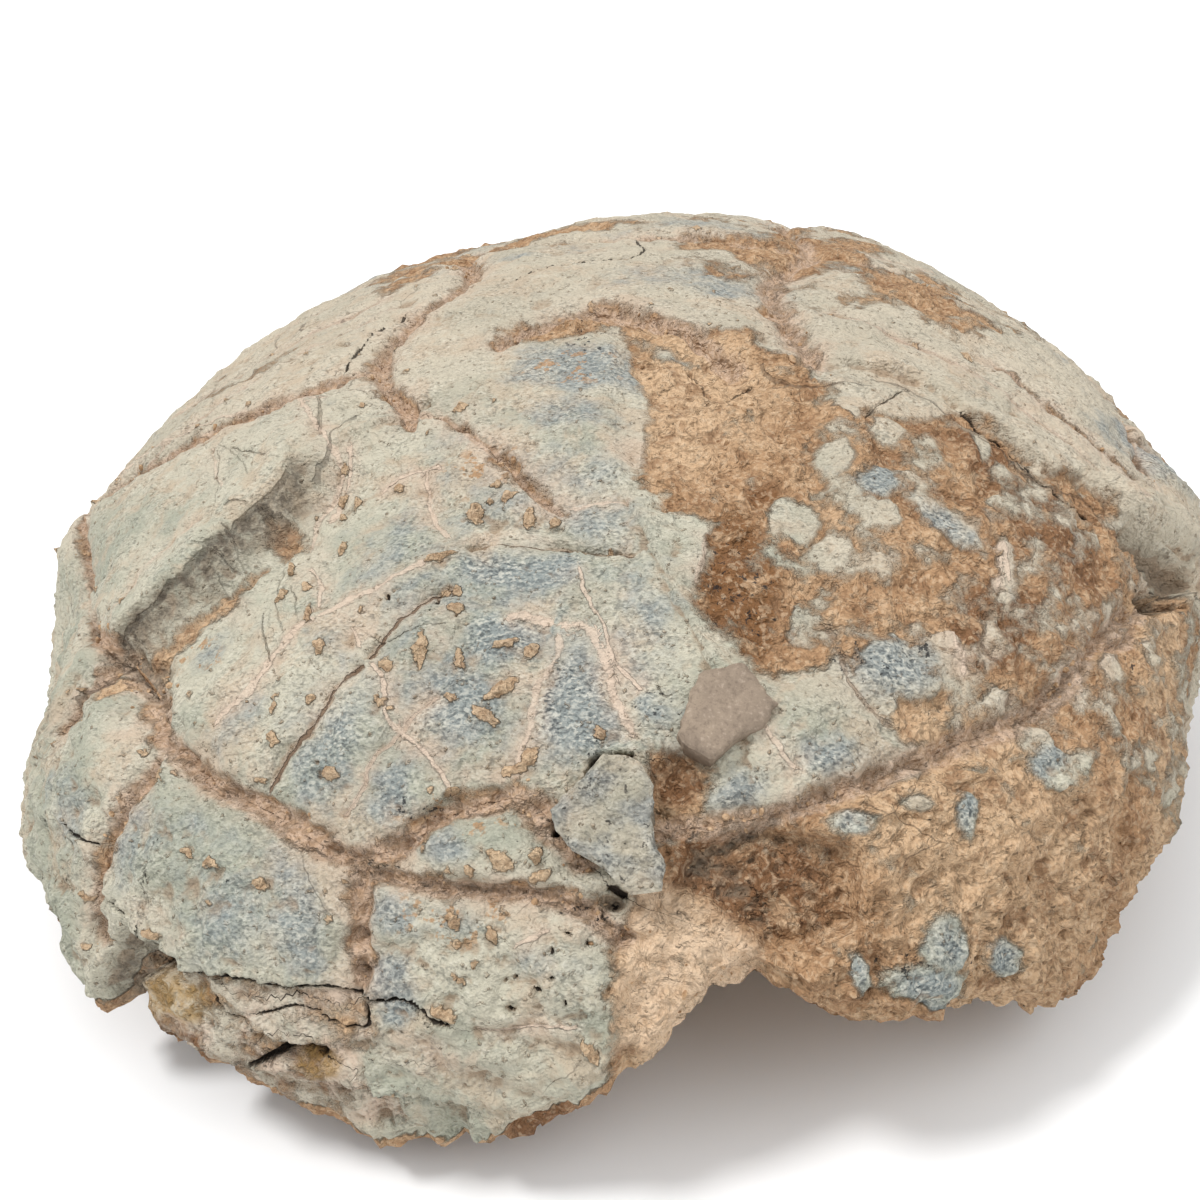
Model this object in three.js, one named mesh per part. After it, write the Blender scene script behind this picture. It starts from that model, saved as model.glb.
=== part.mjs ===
// Fossil tortoise shell: a domed upper shell of cracked bone plates, with the hardened sediment
// that fills it and the flat lower shell under it, cemented into one stone. The better kept end
// lies towards -Y, the crown is over the origin, and the stone rests on the middle of its belly.
import * as THREE from "three";
import { mergeVertices } from "three/addons/utils/BufferGeometryUtils.js";

// ---- Driving dimensions, millimetres ----
const HALF_WIDTH = 120;
const HALF_LENGTH = 158;
const CROWN_HEIGHT = 97.5;
const PLAN_POWER = 2.3; // 2 would be a plain ellipse in plan
const DOME_OUT_POWER = 1.06;
const DOME_UP_POWER = 0.94;
const RIM_HEIGHT = { middle: 22.5, nearEnd: 2, rightSide: 2.2, endsLower: 6.5 };
const LIP_THICKNESS = 5.5;
const SCUTE_GROOVE = { width: 2.4, depth: 2.2 };
const SUTURE_GROOVE = { width: 1.9, depth: 1.1 };
const DEEPEST = 8.5;
const RING_FRACTION = 0.705; // where the groove above the marginal plates lies, crown 0, rim 1
const DRAWN_IN_FROM = 0.65; // fraction from which the mesh follows the broken rim
const RINGS = 15; // rings of the coarse mesh from the crown to the rim
const FINEST_EDGE = { nearHalf: 4.6, farHalf: 7.5, rim: 6 };
const BELLY_EDGE = 7.5;
const COARSEST_EDGE = 13.5;

const degrees = Math.PI / 180;
const mix = THREE.MathUtils.lerp;
const clamp = THREE.MathUtils.clamp;
const smoothstep = THREE.MathUtils.smoothstep;
const bell = (distance, width) => Math.exp(-((distance / width) ** 2));

// ---- The dome, before anything is cut or broken ----
// An angle of -90 degrees is the near end, 0 the right side; a fraction of 0 is the crown, 1 the rim.

function rimRadius(angle) {
  const across = Math.abs(Math.cos(angle) / HALF_WIDTH) ** PLAN_POWER;
  const along = Math.abs(Math.sin(angle) / HALF_LENGTH) ** PLAN_POWER;
  return (across + along) ** (-1 / PLAN_POWER);
}

function rimHeight(angle) {
  const fromNear = angle + Math.PI / 2;
  return (
    RIM_HEIGHT.middle +
    RIM_HEIGHT.nearEnd * Math.cos(fromNear) +
    RIM_HEIGHT.rightSide * Math.sin(fromNear) -
    RIM_HEIGHT.endsLower * Math.cos(2 * fromNear)
  );
}

// Length over the dome from the crown down to the rim.
function meridian(angle) {
  const rise = CROWN_HEIGHT - rimHeight(angle);
  return (Math.PI / 2) * Math.sqrt((rimRadius(angle) ** 2 + rise ** 2) / 2);
}

function domePoint(angle, fraction) {
  const turn = Math.min(fraction, 1) * (Math.PI / 2);
  const out = rimRadius(angle) * Math.sin(turn) ** DOME_OUT_POWER;
  const up = Math.max(Math.cos(turn), 0) ** DOME_UP_POWER;
  const below = Math.max(fraction - 1, 0) * meridian(angle);
  const height = mix(rimHeight(angle), CROWN_HEIGHT, up) - below;
  return new THREE.Vector3(out * Math.cos(angle), out * Math.sin(angle), height);
}

// Outward direction of the dome at a place on it.
function outward(angle, fraction) {
  const step = 0.002;
  const high = Math.max(Math.min(fraction, 1) - step, step);
  const down = domePoint(angle, high + step).sub(domePoint(angle, high));
  const round = domePoint(angle + step, high).sub(domePoint(angle, high));
  return round.cross(down).normalize().negate();
}

// The dome rolled out flat from the crown: [x, y] in millimetres along the surface.
const flatAngle = ([x, y]) => Math.atan2(y, x);
const flatFraction = (spot) => Math.hypot(...spot) / meridian(flatAngle(spot));
const onDome = (spot) => domePoint(flatAngle(spot), flatFraction(spot));

function toFlat(angle, fraction) {
  const reach = fraction * meridian(angle);
  return [reach * Math.cos(angle), reach * Math.sin(angle)];
}

// ---- Where the rim is broken off: [angle in degrees, fraction of the meridian left] ----
const BROKEN_RIM = [
  [-180, 1], [-165, 0.985], [-150, 1], [-138, 0.985], [-127, 0.975], [-118, 0.965],
  [-114.5, 0.985], [-113, 0.955], [-111.2, 0.905], [-109.4, 0.91], [-107, 0.965], [-105, 0.995],
  [-101, 1.02], [-96, 1.03], [-91, 1.02], [-88, 0.995], [-85.5, 0.96], [-82.5, 0.935],
  [-80.5, 0.895], [-78, 0.85], [-76, 0.838], [-74, 0.855], [-72, 0.895], [-70, 0.912],
  [-66, 0.94], [-62.5, 0.965], [-59, 1.01], [-55, 1.04], [-52, 1.03], [-50.3, 0.985],
  [-47, 1], [-40, 1], [-30, 0.985], [-15, 1], [0, 0.99], [14, 1], [30, 0.975], [46, 1],
  [58, 0.965], [75, 0.99], [90, 1], [104, 0.96], [112, 0.99], [130, 1], [146, 0.975], [180, 1],
];

function rimLeft(angle) {
  const turn = THREE.MathUtils.euclideanModulo(angle / degrees + 180, 360) - 180;
  const after = BROKEN_RIM.findIndex(([end]) => end > turn);
  const [[from, low], [to, high]] = [BROKEN_RIM[after - 1], BROKEN_RIM[after]];
  return mix(low, high, (turn - from) / (to - from));
}

// ---- Grooves between the scutes and sutures between the bones, on the flat map ----
const ring = (...turns) => turns.map((turn) => toFlat(turn * degrees, RING_FRACTION));

const SCUTE_LINES = [
  [[-83, -95], [-71, -103], [-60, -113], [-43, -132], [-18, -145], [-4, -136], [5, -134], [14, -143]],
  [[23, -138], [38, -134], [55, -124], [77, -109], [84, -98], [96, -81]],
  ring(-38, -25, -10, 5, 20, 35, 50, 65, 80, 95, 110, 125, 140, 155, 170, 185, 200, 215, 230),
  [[-22, -63], [-13, -67], [-5, -76], [2, -84]],
  [[-13, -41], [1, -33], [15, -38], [24, -46]],
  [[-18, -145], [-18, -169]],
  [[-54, -129], [-59, -137], [-66, -149], [-70, -162]],
  [[-71, -107], [-80, -119]],
  [[-18, -147], [-4, -150], [12, -151], [21, -157]],
  [[-22, -63], [-34, -44], [-27, -12], [-35, 16], [-27, 47], [-34, 78], [-22, 108]],
  [[36, -44], [29, -14], [36, 16], [28, 47], [34, 78], [22, 108]],
  [[-34, -46], [-48, -50], [-68, -51], [-83, -51], [-106, -54]],
  [[-35, 16], [0, 13], [36, 16], [70, 21], [104, 24]],
  [[-35, 16], [-70, 21], [-106, 24]],
  [[-34, 78], [0, 74], [34, 78], [56, 92], [72, 108]],
  [[-34, 78], [-56, 92], [-72, 108]],
];

// Short grooves between the marginal plates, from the ring to the rim.
for (const turn of [-26, -8, 10, 28, 45, 62, 80, 100, 118, 135, 152, 170, 188, 206]) {
  SCUTE_LINES.push([toFlat(turn * degrees, RING_FRACTION), toFlat((turn + 2) * degrees, 0.98)]);
}

const SUTURE_LINES = [
  [[-10, -91], [3, -91], [17, -92]],
  [[-9, -95], [-21, -112], [-32, -132]],
  [[-13, -122], [-19, -134], [-22, -139]],
  [[-14, -123], [-4, -136]],
  [[-29, -104], [-39, -117], [-43, -122]],
  [[-42, -91], [-52, -98], [-61, -110]],
  [[7, -93], [17, -112], [24, -122]],
  [[41, -99], [48, -114], [54, -119]],
  [[60, -95], [70, -106], [71, -112]],
  [[-50, -167], [-30, -169], [-11, -172], [5, -176], [18, -174]],
];

const BELLY_GROOVES = [-88, -46, 34, 84]; // places along the belly, near end first

// Deep folds where the plates were pressed over each other. The ridge stands on the crown side.
const FOLDS = [
  { line: [[-29, -65], [-37, -69], [-47, -78], [-64, -98], [-70, -103]], width: 4.5, depth: 4.6, ridge: 2.2 },
  { line: [[36, -44], [57, -44], [63, -52], [78, -64], [95, -67]], width: 3.6, depth: 3.4, ridge: 2 },
];

// ---- Areas that stand above or below the dome: outlines on the flat map, height, soft edge ----
const AREAS = [
  // sediment worn down between the bone plates
  {
    outline: [[6, -41], [39, -50], [40, -83], [43, -111], [33, -113], [25, -104], [10, -72]],
    height: -1.6,
    edge: 2.5,
  },
  // the break at the near right of the rim, set back into the sediment
  { outline: [[22, -154], [30, -143], [46, -138], [50, -152], [40, -172], [22, -185]], height: -5, edge: 3 },
  // the loose flake that stands proud beside the break
  { outline: [[15, -127], [21, -128], [26, -145], [21, -149], [15, -144], [10, -138]], height: 2.8, edge: 1 },
  // crumbling ledge under the lowest plates of the near end
  {
    outline: [[-66, -176], [-40, -184], [-17, -188], [3, -190], [4, -206], [-72, -202]],
    height: -2.6,
    edge: 3.5,
  },
  // smooth chip of another bone
  { outline: [[23, -120], [29, -112], [35, -120], [29, -127]], height: 1.3, edge: 1 },
];

// ---- Lumps and hollows: [x, y] on the flat map, radius, height ----
const LUMPS = [
  { spot: [-112, -97], radius: 27, height: -6 },
  { spot: [-104, -62], radius: 13, height: 4 },
  { spot: [80, 42], radius: 26, height: -3.5 },
  { spot: [112, 16], radius: 20, height: -2 },
  { spot: [128, -24], radius: 14, height: 3 },
  { spot: [136, -72], radius: 15, height: -3.5 },
  { spot: [107, -71], radius: 5, height: -9 },
  { spot: [114, -56], radius: 6, height: 4 },
  { spot: [24, -128], radius: 3.5, height: -4 },
  { spot: [19, -151], radius: 3, height: -4 },
  { spot: [-38, 43], radius: 20, height: -2 },
];

// ---- Measuring distances to the lines ----

// A smooth line through the given spots, laid on the dome.
function laidOnDome(spots) {
  const flat = spots.map(([x, y]) => new THREE.Vector3(x, y, 0));
  const curve = new THREE.CatmullRomCurve3(flat, false, "centripetal");
  const pieces = Math.ceil(curve.getLength() / 6);
  return curve.getSpacedPoints(pieces).map(({ x, y }) => onDome([x, y]));
}

const segment = new THREE.Line3();
const nearest = new THREE.Vector3();

function distanceTo(line, point) {
  let least = Infinity;
  for (let i = 1; i < line.length; i += 1) {
    segment.set(line[i - 1], line[i]).closestPointToPoint(point, true, nearest);
    least = Math.min(least, nearest.distanceTo(point));
  }
  return least;
}

// How far inside an outline a spot lies; outside it is negative.
function depthInside(outline, [x, y]) {
  let least = Infinity;
  let inside = false;
  for (let i = 0; i < outline.length; i += 1) {
    const [ax, ay] = outline[i];
    const [bx, by] = outline[(i + 1) % outline.length];
    segment.set(new THREE.Vector3(ax, ay, 0), new THREE.Vector3(bx, by, 0));
    const spot = new THREE.Vector3(x, y, 0);
    segment.closestPointToPoint(spot, true, nearest);
    least = Math.min(least, nearest.distanceTo(spot));
    if (ay > y !== by > y && x < ax + ((y - ay) / (by - ay)) * (bx - ax)) inside = !inside;
  }
  return inside ? least : -least;
}

const scutes = SCUTE_LINES.map(laidOnDome);
const sutures = SUTURE_LINES.map(laidOnDome);
const folds = FOLDS.map((fold) => ({ ...fold, line: laidOnDome(fold.line) }));
const toNearest = (lines, point) => Math.min(...lines.map((line) => distanceTo(line, point)));

// ---- Relief of the upper shell: how far a point of the dome moves outwards ----
function relief(point, spot) {
  const scute = toNearest(scutes, point);
  const suture = toNearest(sutures, point);
  let height = -SCUTE_GROOVE.depth * bell(scute, SCUTE_GROOVE.width) - 1.1 * bell(scute, 9);
  height -= SUTURE_GROOVE.depth * bell(suture, SUTURE_GROOVE.width);
  for (const { line, width, depth, ridge } of folds) {
    const away = distanceTo(line, point);
    const middle = line[Math.floor(line.length / 2)];
    const crownSide = smoothstep(point.z - middle.z, -12, 12);
    height -= depth * bell(away, width) - ridge * crownSide * bell(away - 2.4 * width, 1.6 * width);
  }
  for (const { outline, height: rise, edge } of AREAS) {
    height += rise * smoothstep(depthInside(outline, spot), -edge, edge);
  }
  for (const { spot: [x, y], radius, height: rise } of LUMPS) {
    height += rise * bell(Math.hypot(spot[0] - x, spot[1] - y), radius);
  }
  return Math.max(height, -DEEPEST) + waves(point, 0.7);
}

// The same as a movement of a place given by its angle and fraction.
function shift(angle, fraction) {
  const lift = relief(domePoint(angle, fraction), toFlat(angle, fraction));
  return outward(angle, fraction).multiplyScalar(lift);
}

// Slow unevenness of a crushed and weathered surface.
function waves({ x, y, z }, size) {
  const long = Math.sin(x / 17 + y / 29 + 0.6) * Math.cos(y / 15 - z / 23 + 1.9);
  const short = Math.sin(x / 7.3 - y / 9.1 + 2.2) * Math.sin(y / 6.7 + z / 8.3);
  return size * (long + 0.4 * short);
}

// ---- Underside, from the broken rim in to the middle of the belly ----
// Each step: share of the way out, and height. The side bridges run straight from the rim to the
// belly, while both ends are hollowed where the sediment between the two shells has fallen out.
function undersidePoint(angle, share) {
  const edge = domePoint(angle, rimLeft(angle));
  const reach = Math.hypot(edge.x, edge.y);
  const toEnd = Math.abs(Math.sin(angle)) ** 1.5;
  const lip = edge.z - LIP_THICKNESS;
  const steps = [
    [1, edge.z],
    [0.985, lip],
    [0.93, lip - mix(1, -0.5, toEnd)],
    [mix(0.85, 0.87, toEnd), mix(14, lip + 3, toEnd)],
    [mix(0.75, 0.73, toEnd), mix(8.5, 9.5, toEnd)],
    [0.52, 2.4],
    [0.26, -0.4],
    [0, -6],
  ];
  const along = (1 - share) * (steps.length - 1);
  const at = Math.min(Math.floor(along), steps.length - 2);
  const [[outA, highA], [outB, highB]] = [steps[at], steps[at + 1]];
  const out = reach * mix(outA, outB, along - at);
  const high = mix(highA, highB, along - at);
  return new THREE.Vector3(out * Math.cos(angle), out * Math.sin(angle), high);
}

// Distance to the grooves between the belly plates: one along the middle and four across.
function fromBellyGroove({ x, y }) {
  const across = BELLY_GROOVES.map((at) => Math.abs(y - at - 5 * Math.cos(x / 16)));
  return Math.min(Math.abs(x - 2.5 * Math.sin(y / 19)), ...across);
}

function bellyRelief(point) {
  const groove = SCUTE_GROOVE.depth * bell(fromBellyGroove(point), 1.3 * SCUTE_GROOVE.width);
  return waves(point, 1.1) - groove * smoothstep(point.z, 0, 1);
}

// ---- Mesh: two discs of triangles joined at the rim, made finer where the surface turns ----
// A vertex is a place on a unit disc, u and v, and which side it is on: 1 upper, -1 under.

// Fraction of the meridian at a place on the upper disc. Only its outer part is drawn in where the
// rim is broken off.
function fractionOf(angle, out) {
  const drawn = Math.max(out - DRAWN_IN_FROM, 0) / (1 - DRAWN_IN_FROM);
  return out - (1 - rimLeft(angle)) * drawn;
}

function placeOf({ u, v, side }) {
  const angle = Math.atan2(v, u);
  const out = Math.hypot(u, v);
  return side > 0 ? domePoint(angle, fractionOf(angle, out)) : undersidePoint(angle, out);
}

// Ring k of a disc has 6k vertices, so that its triangles are nearly equal. The under disc takes
// its outermost ring from the upper one.
function addDisc({ vertices, triangles }, side, sharedRim) {
  const rows = [];
  for (let k = 0; k <= RINGS; k += 1) {
    const row = [];
    for (let i = 0; i < Math.max(6 * k, 1); i += 1) {
      const angle = (Math.PI * i) / (3 * Math.max(k, 1));
      const [u, v] = [(k / RINGS) * Math.cos(angle), (k / RINGS) * Math.sin(angle)];
      const rim = k === RINGS;
      row.push(rim && sharedRim ? sharedRim[i] : vertices.push({ u, v, side, rim }) - 1);
    }
    rows.push(row);
  }
  const addTriangle = (a, b, c) => triangles.push(side > 0 ? [a, b, c] : [a, c, b]);
  for (let k = 0; k < RINGS; k += 1) {
    const [inner, outer] = [rows[k], rows[k + 1]];
    for (let sector = 0; sector < 6; sector += 1) {
      for (let i = 0; i <= k; i += 1) {
        const start = inner[(sector * k + i) % inner.length];
        const next = inner[(sector * k + i + 1) % inner.length];
        const below = outer[sector * (k + 1) + i];
        const belowNext = outer[(sector * (k + 1) + i + 1) % outer.length];
        addTriangle(start, below, belowNext);
        if (i < k) addTriangle(start, belowNext, next);
      }
    }
  }
  return rows[RINGS];
}

function makeDiscs() {
  const mesh = { vertices: [], triangles: [] };
  const rim = addDisc(mesh, 1);
  addDisc(mesh, -1, rim);
  return mesh;
}

// Longest edge wanted at a point.
function edgeWanted(point, { u, v, side, rim }) {
  const fromRim = (1 - Math.hypot(u, v)) * meridian(Math.atan2(v, u));
  const finest = mix(FINEST_EDGE.nearHalf, FINEST_EDGE.farHalf, smoothstep(point.y, -25, 15));
  const atRim = mix(FINEST_EDGE.rim, FINEST_EDGE.farHalf, smoothstep(point.y, -25, 15)) + fromRim;
  if (side < 0 && !rim) {
    const awayGroove = Math.max(fromBellyGroove(point) - 2, 0);
    const wanted = Math.min(atRim, BELLY_EDGE + 1.2 * awayGroove);
    return point.z > 0 ? clamp(wanted, finest, 13) : 22;
  }
  const away = Math.max(toNearest([...scutes, ...folds.map(({ line }) => line)], point) - 2, 0);
  const awaySuture = Math.max(toNearest(sutures, point) - 1, 0);
  const wanted = Math.min(finest + 0.9 * away, 1.15 * finest + 1.2 * awaySuture, atRim);
  return clamp(wanted, finest, COARSEST_EDGE);
}

function refine({ vertices, triangles }) {
  const places = vertices.map(placeOf);
  const middles = new Map();
  const middleOf = (a, b) => {
    const key = a < b ? `${a},${b}` : `${b},${a}`;
    if (!middles.has(key)) {
      const [from, to] = [vertices[a], vertices[b]];
      const rim = from.rim && to.rim;
      const side = from.rim ? to.side : from.side;
      let [u, v] = [(from.u + to.u) / 2, (from.v + to.v) / 2];
      if (rim) [u, v] = [u / Math.hypot(u, v), v / Math.hypot(u, v)];
      const vertex = { u, v, side: rim ? 1 : side, rim };
      const tooLong = places[a].distanceTo(places[b]) > edgeWanted(placeOf(vertex), vertex);
      middles.set(key, tooLong ? vertices.push(vertex) - 1 : -1);
    }
    return middles.get(key);
  };
  const finer = [];
  for (const [a, b, c] of triangles) {
    const [ab, bc, ca] = [middleOf(a, b), middleOf(b, c), middleOf(c, a)];
    const cuts = [ab, bc, ca].filter((cut) => cut >= 0).length;
    if (cuts === 0) finer.push([a, b, c]);
    if (cuts === 3) finer.push([a, ab, ca], [ab, b, bc], [ca, bc, c], [ab, bc, ca]);
    if (cuts === 1) {
      if (ab >= 0) finer.push([a, ab, c], [ab, b, c]);
      if (bc >= 0) finer.push([b, bc, a], [bc, c, a]);
      if (ca >= 0) finer.push([c, ca, b], [ca, a, b]);
    }
    if (cuts === 2) {
      if (ab < 0) finer.push([c, ca, bc], [ca, a, bc], [a, b, bc]);
      if (bc < 0) finer.push([a, ab, ca], [ab, b, ca], [b, c, ca]);
      if (ca < 0) finer.push([b, bc, ab], [bc, c, ab], [c, a, ab]);
    }
  }
  return { vertices, triangles: finer };
}

// ---- The stone ----
function makeStone() {
  let mesh = makeDiscs();
  for (let pass = 0; pass < 3; pass += 1) mesh = refine(mesh);
  const places = mesh.vertices.map(placeOf);
  const plain = new THREE.BufferGeometry().setFromPoints(places);
  plain.setIndex(mesh.triangles.flat());
  plain.computeVertexNormals();
  const moved = places.map((place, i) => {
    const { u, v, side, rim } = mesh.vertices[i];
    const [angle, out] = [Math.atan2(v, u), Math.hypot(u, v)];
    if (side > 0 || rim) return place.clone().add(shift(angle, fractionOf(angle, out)));
    const nearRim = smoothstep(out, 0.57, 0.86);
    const down = new THREE.Vector3().fromBufferAttribute(plain.getAttribute("normal"), i);
    const lift = place.z > 0 ? bellyRelief(place) * (1 - nearRim) : 0;
    const point = place.clone().addScaledVector(down, lift);
    point.addScaledVector(shift(angle, rimLeft(angle)), nearRim);
    return point.setZ(Math.max(point.z, 0));
  });
  const stone = new THREE.BufferGeometry().setFromPoints(moved);
  stone.setIndex(mesh.triangles.flat());
  const middle = new THREE.Box3().setFromPoints(moved).getCenter(new THREE.Vector3());
  stone.translate(-middle.x, -middle.y, 0); // the origin is under the middle of the outline
  return mergeVertices(stone, 1e-4);
}

const boneAndStone = new THREE.MeshStandardMaterial({ color: 0xb9a98a, roughness: 0.88, metalness: 0 });
const shell = new THREE.Mesh(makeStone(), boneAndStone);
shell.name = "fossil_shell";

const part = new THREE.Group();
part.add(shell);

export default part;
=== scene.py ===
# A fossil tortoise shell: the domed upper shell of cracked bone plates, its row of marginal plates,
# and the hardened sediment and lower shell that it is cemented to. It rests on its belly.
import math

import bpy
import numpy as np
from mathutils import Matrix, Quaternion, Vector, kdtree, noise


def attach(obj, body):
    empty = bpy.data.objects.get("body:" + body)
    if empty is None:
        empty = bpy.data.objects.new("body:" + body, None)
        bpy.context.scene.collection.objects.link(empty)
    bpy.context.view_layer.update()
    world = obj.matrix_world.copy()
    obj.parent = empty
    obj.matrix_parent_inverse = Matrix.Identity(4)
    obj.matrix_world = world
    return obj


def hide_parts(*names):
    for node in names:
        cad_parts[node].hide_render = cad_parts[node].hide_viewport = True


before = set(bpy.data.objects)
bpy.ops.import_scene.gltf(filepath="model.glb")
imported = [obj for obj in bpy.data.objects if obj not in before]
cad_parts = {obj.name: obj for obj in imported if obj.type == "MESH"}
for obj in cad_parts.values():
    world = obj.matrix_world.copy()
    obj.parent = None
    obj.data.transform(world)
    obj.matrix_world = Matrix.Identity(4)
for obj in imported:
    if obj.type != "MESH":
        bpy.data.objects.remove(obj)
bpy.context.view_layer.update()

# ==== Upper shell ====
# The large bone plates over the back of the animal, grown together into one dome. Burial has pressed
# and cracked them, and fine sediment has set hard in the grooves and over the part where the bone is
# worn away. The dome is all one stone with the marginal plates below it.

# -- its form, in millimetres. An angle of -90 degrees is the near end, 0 the right side; a fraction
#    of 0 is the crown, 1 the rim.
HALF_WIDTH, HALF_LENGTH, CROWN_HEIGHT = 120, 158, 97.5
MIDDLE_OF_OUTLINE = (0.30, 0.42)  # the crown stands this far from it, in x and y
SQUARENESS = 2.3  # at 2 the rim would be an ellipse


def rim_radius(angle):
    """Distance from the axis to the unbroken rim."""
    across = np.abs(np.cos(angle) / HALF_WIDTH) ** SQUARENESS
    along = np.abs(np.sin(angle) / HALF_LENGTH) ** SQUARENESS
    return (across + along) ** (-1 / SQUARENESS)


def rim_height(angle):
    """Height of the unbroken rim above the table: highest along the sides."""
    turn = angle + np.pi / 2
    return 22.5 + 2 * np.cos(turn) + 2.2 * np.sin(turn) - 6.5 * np.cos(2 * turn)


def meridian(angle):
    """Length over the dome from the crown down to the rim."""
    rise = CROWN_HEIGHT - rim_height(angle)
    return (np.pi / 2) * np.sqrt((rim_radius(angle) ** 2 + rise ** 2) / 2)


def dome_point(angle, fraction):
    """A point of the smooth dome. Past the rim it goes straight down."""
    turn = np.minimum(fraction, 1) * np.pi / 2
    out = rim_radius(angle) * np.sin(turn) ** 1.06
    up = np.maximum(np.cos(turn), 0) ** 0.94
    low = rim_height(angle)
    height = low + (CROWN_HEIGHT - low) * up - np.maximum(fraction - 1, 0) * meridian(angle)
    return np.stack([out * np.cos(angle), out * np.sin(angle), height], -1)


def unit(vectors):
    return vectors / np.linalg.norm(vectors, axis=-1, keepdims=True)


def outward(angle, fraction):
    """Direction straight out of the dome."""
    step = 0.002
    high = np.maximum(np.minimum(fraction, 1) - step, step)
    down = dome_point(angle, high + step) - dome_point(angle, high)
    around = dome_point(angle + step, high) - dome_point(angle, high)
    return unit(np.cross(down, around))


def to_flat(angle, fraction):
    """The dome rolled out flat from the crown: x and y in millimetres along the surface."""
    reach = fraction * meridian(angle)
    return np.stack([reach * np.cos(angle), reach * np.sin(angle)], -1)


def from_flat(spots):
    """Angle and fraction of spots on the flat map."""
    spots = np.asarray(spots, float)
    angle = np.arctan2(spots[..., 1], spots[..., 0])
    return angle, np.hypot(spots[..., 0], spots[..., 1]) / meridian(angle)


# -- measuring on the flat map
def smoothstep(low, high, value):
    """0 at low, 1 at high, smooth in between. Low may be the greater of the two."""
    t = np.clip((value - low) / (high - low), 0, 1)
    return t * t * (3 - 2 * t)


def bell(distance, width):
    """1 at no distance, and next to nothing past twice the width."""
    return np.exp(-((distance / width) ** 2))


def rough(places, size, octaves=3, seed=0):
    """Random values, mostly from -1 to 1, that change over about size, with finer ones on top."""
    places = np.asarray(places, float) / size + 17.3 * seed
    if places.shape[-1] == 2:
        places = np.column_stack([places, np.full(len(places), 0.37)])
    return 1.6 * np.array([noise.fractal(place, 0.85, 2.1, octaves) for place in places.tolist()])


def smooth_line(spots, step=0.5):
    """Points every step millimetres along a smooth line through the given spots."""
    spots = np.array(spots, float)
    along = np.r_[0, np.cumsum(np.hypot(*np.diff(spots, axis=0).T))]
    heading = np.gradient(spots, along, axis=0)
    at = np.linspace(0, along[-1], int(along[-1] / step) + 2)
    i = np.clip(np.searchsorted(along, at, side="right") - 1, 0, len(spots) - 2)
    span = (along[i + 1] - along[i])[:, None]
    t = (at - along[i])[:, None] / span
    start, end = spots[i], spots[i + 1]
    bend = (t - 1) * heading[i] + t * heading[i + 1]
    return start + (end - start) * t * t * (3 - 2 * t) + t * (t - 1) * span * bend


class Lines:
    """A set of lines on the flat map, each with the values that its kind of mark needs."""

    def __init__(self, lines):
        paths = [smooth_line(spots) for spots, *_ in lines]
        self.values = np.array([values for _, *values in lines], float)
        self.points = np.concatenate(paths)
        self.headings = np.concatenate([unit(np.gradient(path, axis=0)) for path in paths])
        self.owner = np.repeat(np.arange(len(paths)), [len(path) for path in paths])
        self.ends = np.concatenate([np.minimum(np.arange(len(path)), np.arange(len(path))[::-1])
                                    for path in paths]) * 0.5
        self.tree = kdtree.KDTree(len(self.points))
        for i, (x, y) in enumerate(self.points):
            self.tree.insert((x, y, 0), i)
        self.tree.balance()

    def measure(self, spots):
        """Distance to the nearest line, + or - 1 for its left or right side, its values, and how
        far the nearest place is from an end of it."""
        found = np.array([self.tree.find((x, y, 0))[1] for x, y in spots.tolist()], int)
        offset = spots - self.points[found]
        heading = self.headings[found]
        across = heading[:, 0] * offset[:, 1] - heading[:, 1] * offset[:, 0]
        beyond = np.abs((heading * offset).sum(1))
        distance = np.hypot(across, np.maximum(beyond - 0.3, 0))
        return distance, np.sign(across), self.values[self.owner[found]].T, self.ends[found]


def depth_inside(outline, spots):
    """How far inside an outline each spot lies; outside it is negative."""
    outline = np.array(outline, float)
    least = np.full(len(spots), np.inf)
    inside = np.zeros(len(spots), bool)
    for (ax, ay), (bx, by) in zip(outline, np.roll(outline, -1, axis=0)):
        x, y = spots[:, 0] - ax, spots[:, 1] - ay
        run_x, run_y = bx - ax, by - ay
        t = np.clip((x * run_x + y * run_y) / (run_x ** 2 + run_y ** 2), 0, 1)
        least = np.minimum(least, np.hypot(x - t * run_x, y - t * run_y))
        if ay != by:
            inside ^= ((ay > spots[:, 1]) != (by > spots[:, 1])) & (x < y / run_y * run_x)
    return np.where(inside, least, -least)


def in_patches(patches, spots):
    """1 in the middle of an oval patch, 0 from its edge on. A patch is x, y, two radii, degrees."""
    best = np.zeros(len(spots))
    for x, y, long_, short, turn in patches:
        turn = math.radians(turn)
        dx, dy = spots[:, 0] - x, spots[:, 1] - y
        along = (dx * math.cos(turn) + dy * math.sin(turn)) / long_
        across = (dy * math.cos(turn) - dx * math.sin(turn)) / short
        best = np.maximum(best, 1 - np.hypot(along, across))
    return best


# -- grooves between the scutes: the line, its width, its depth
RING_FRACTION = 0.705  # where the groove above the marginal plates lies


def ring(*turns):
    """Spots of that groove, at the given degrees."""
    return [to_flat(math.radians(turn), RING_FRACTION) for turn in turns]


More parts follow.
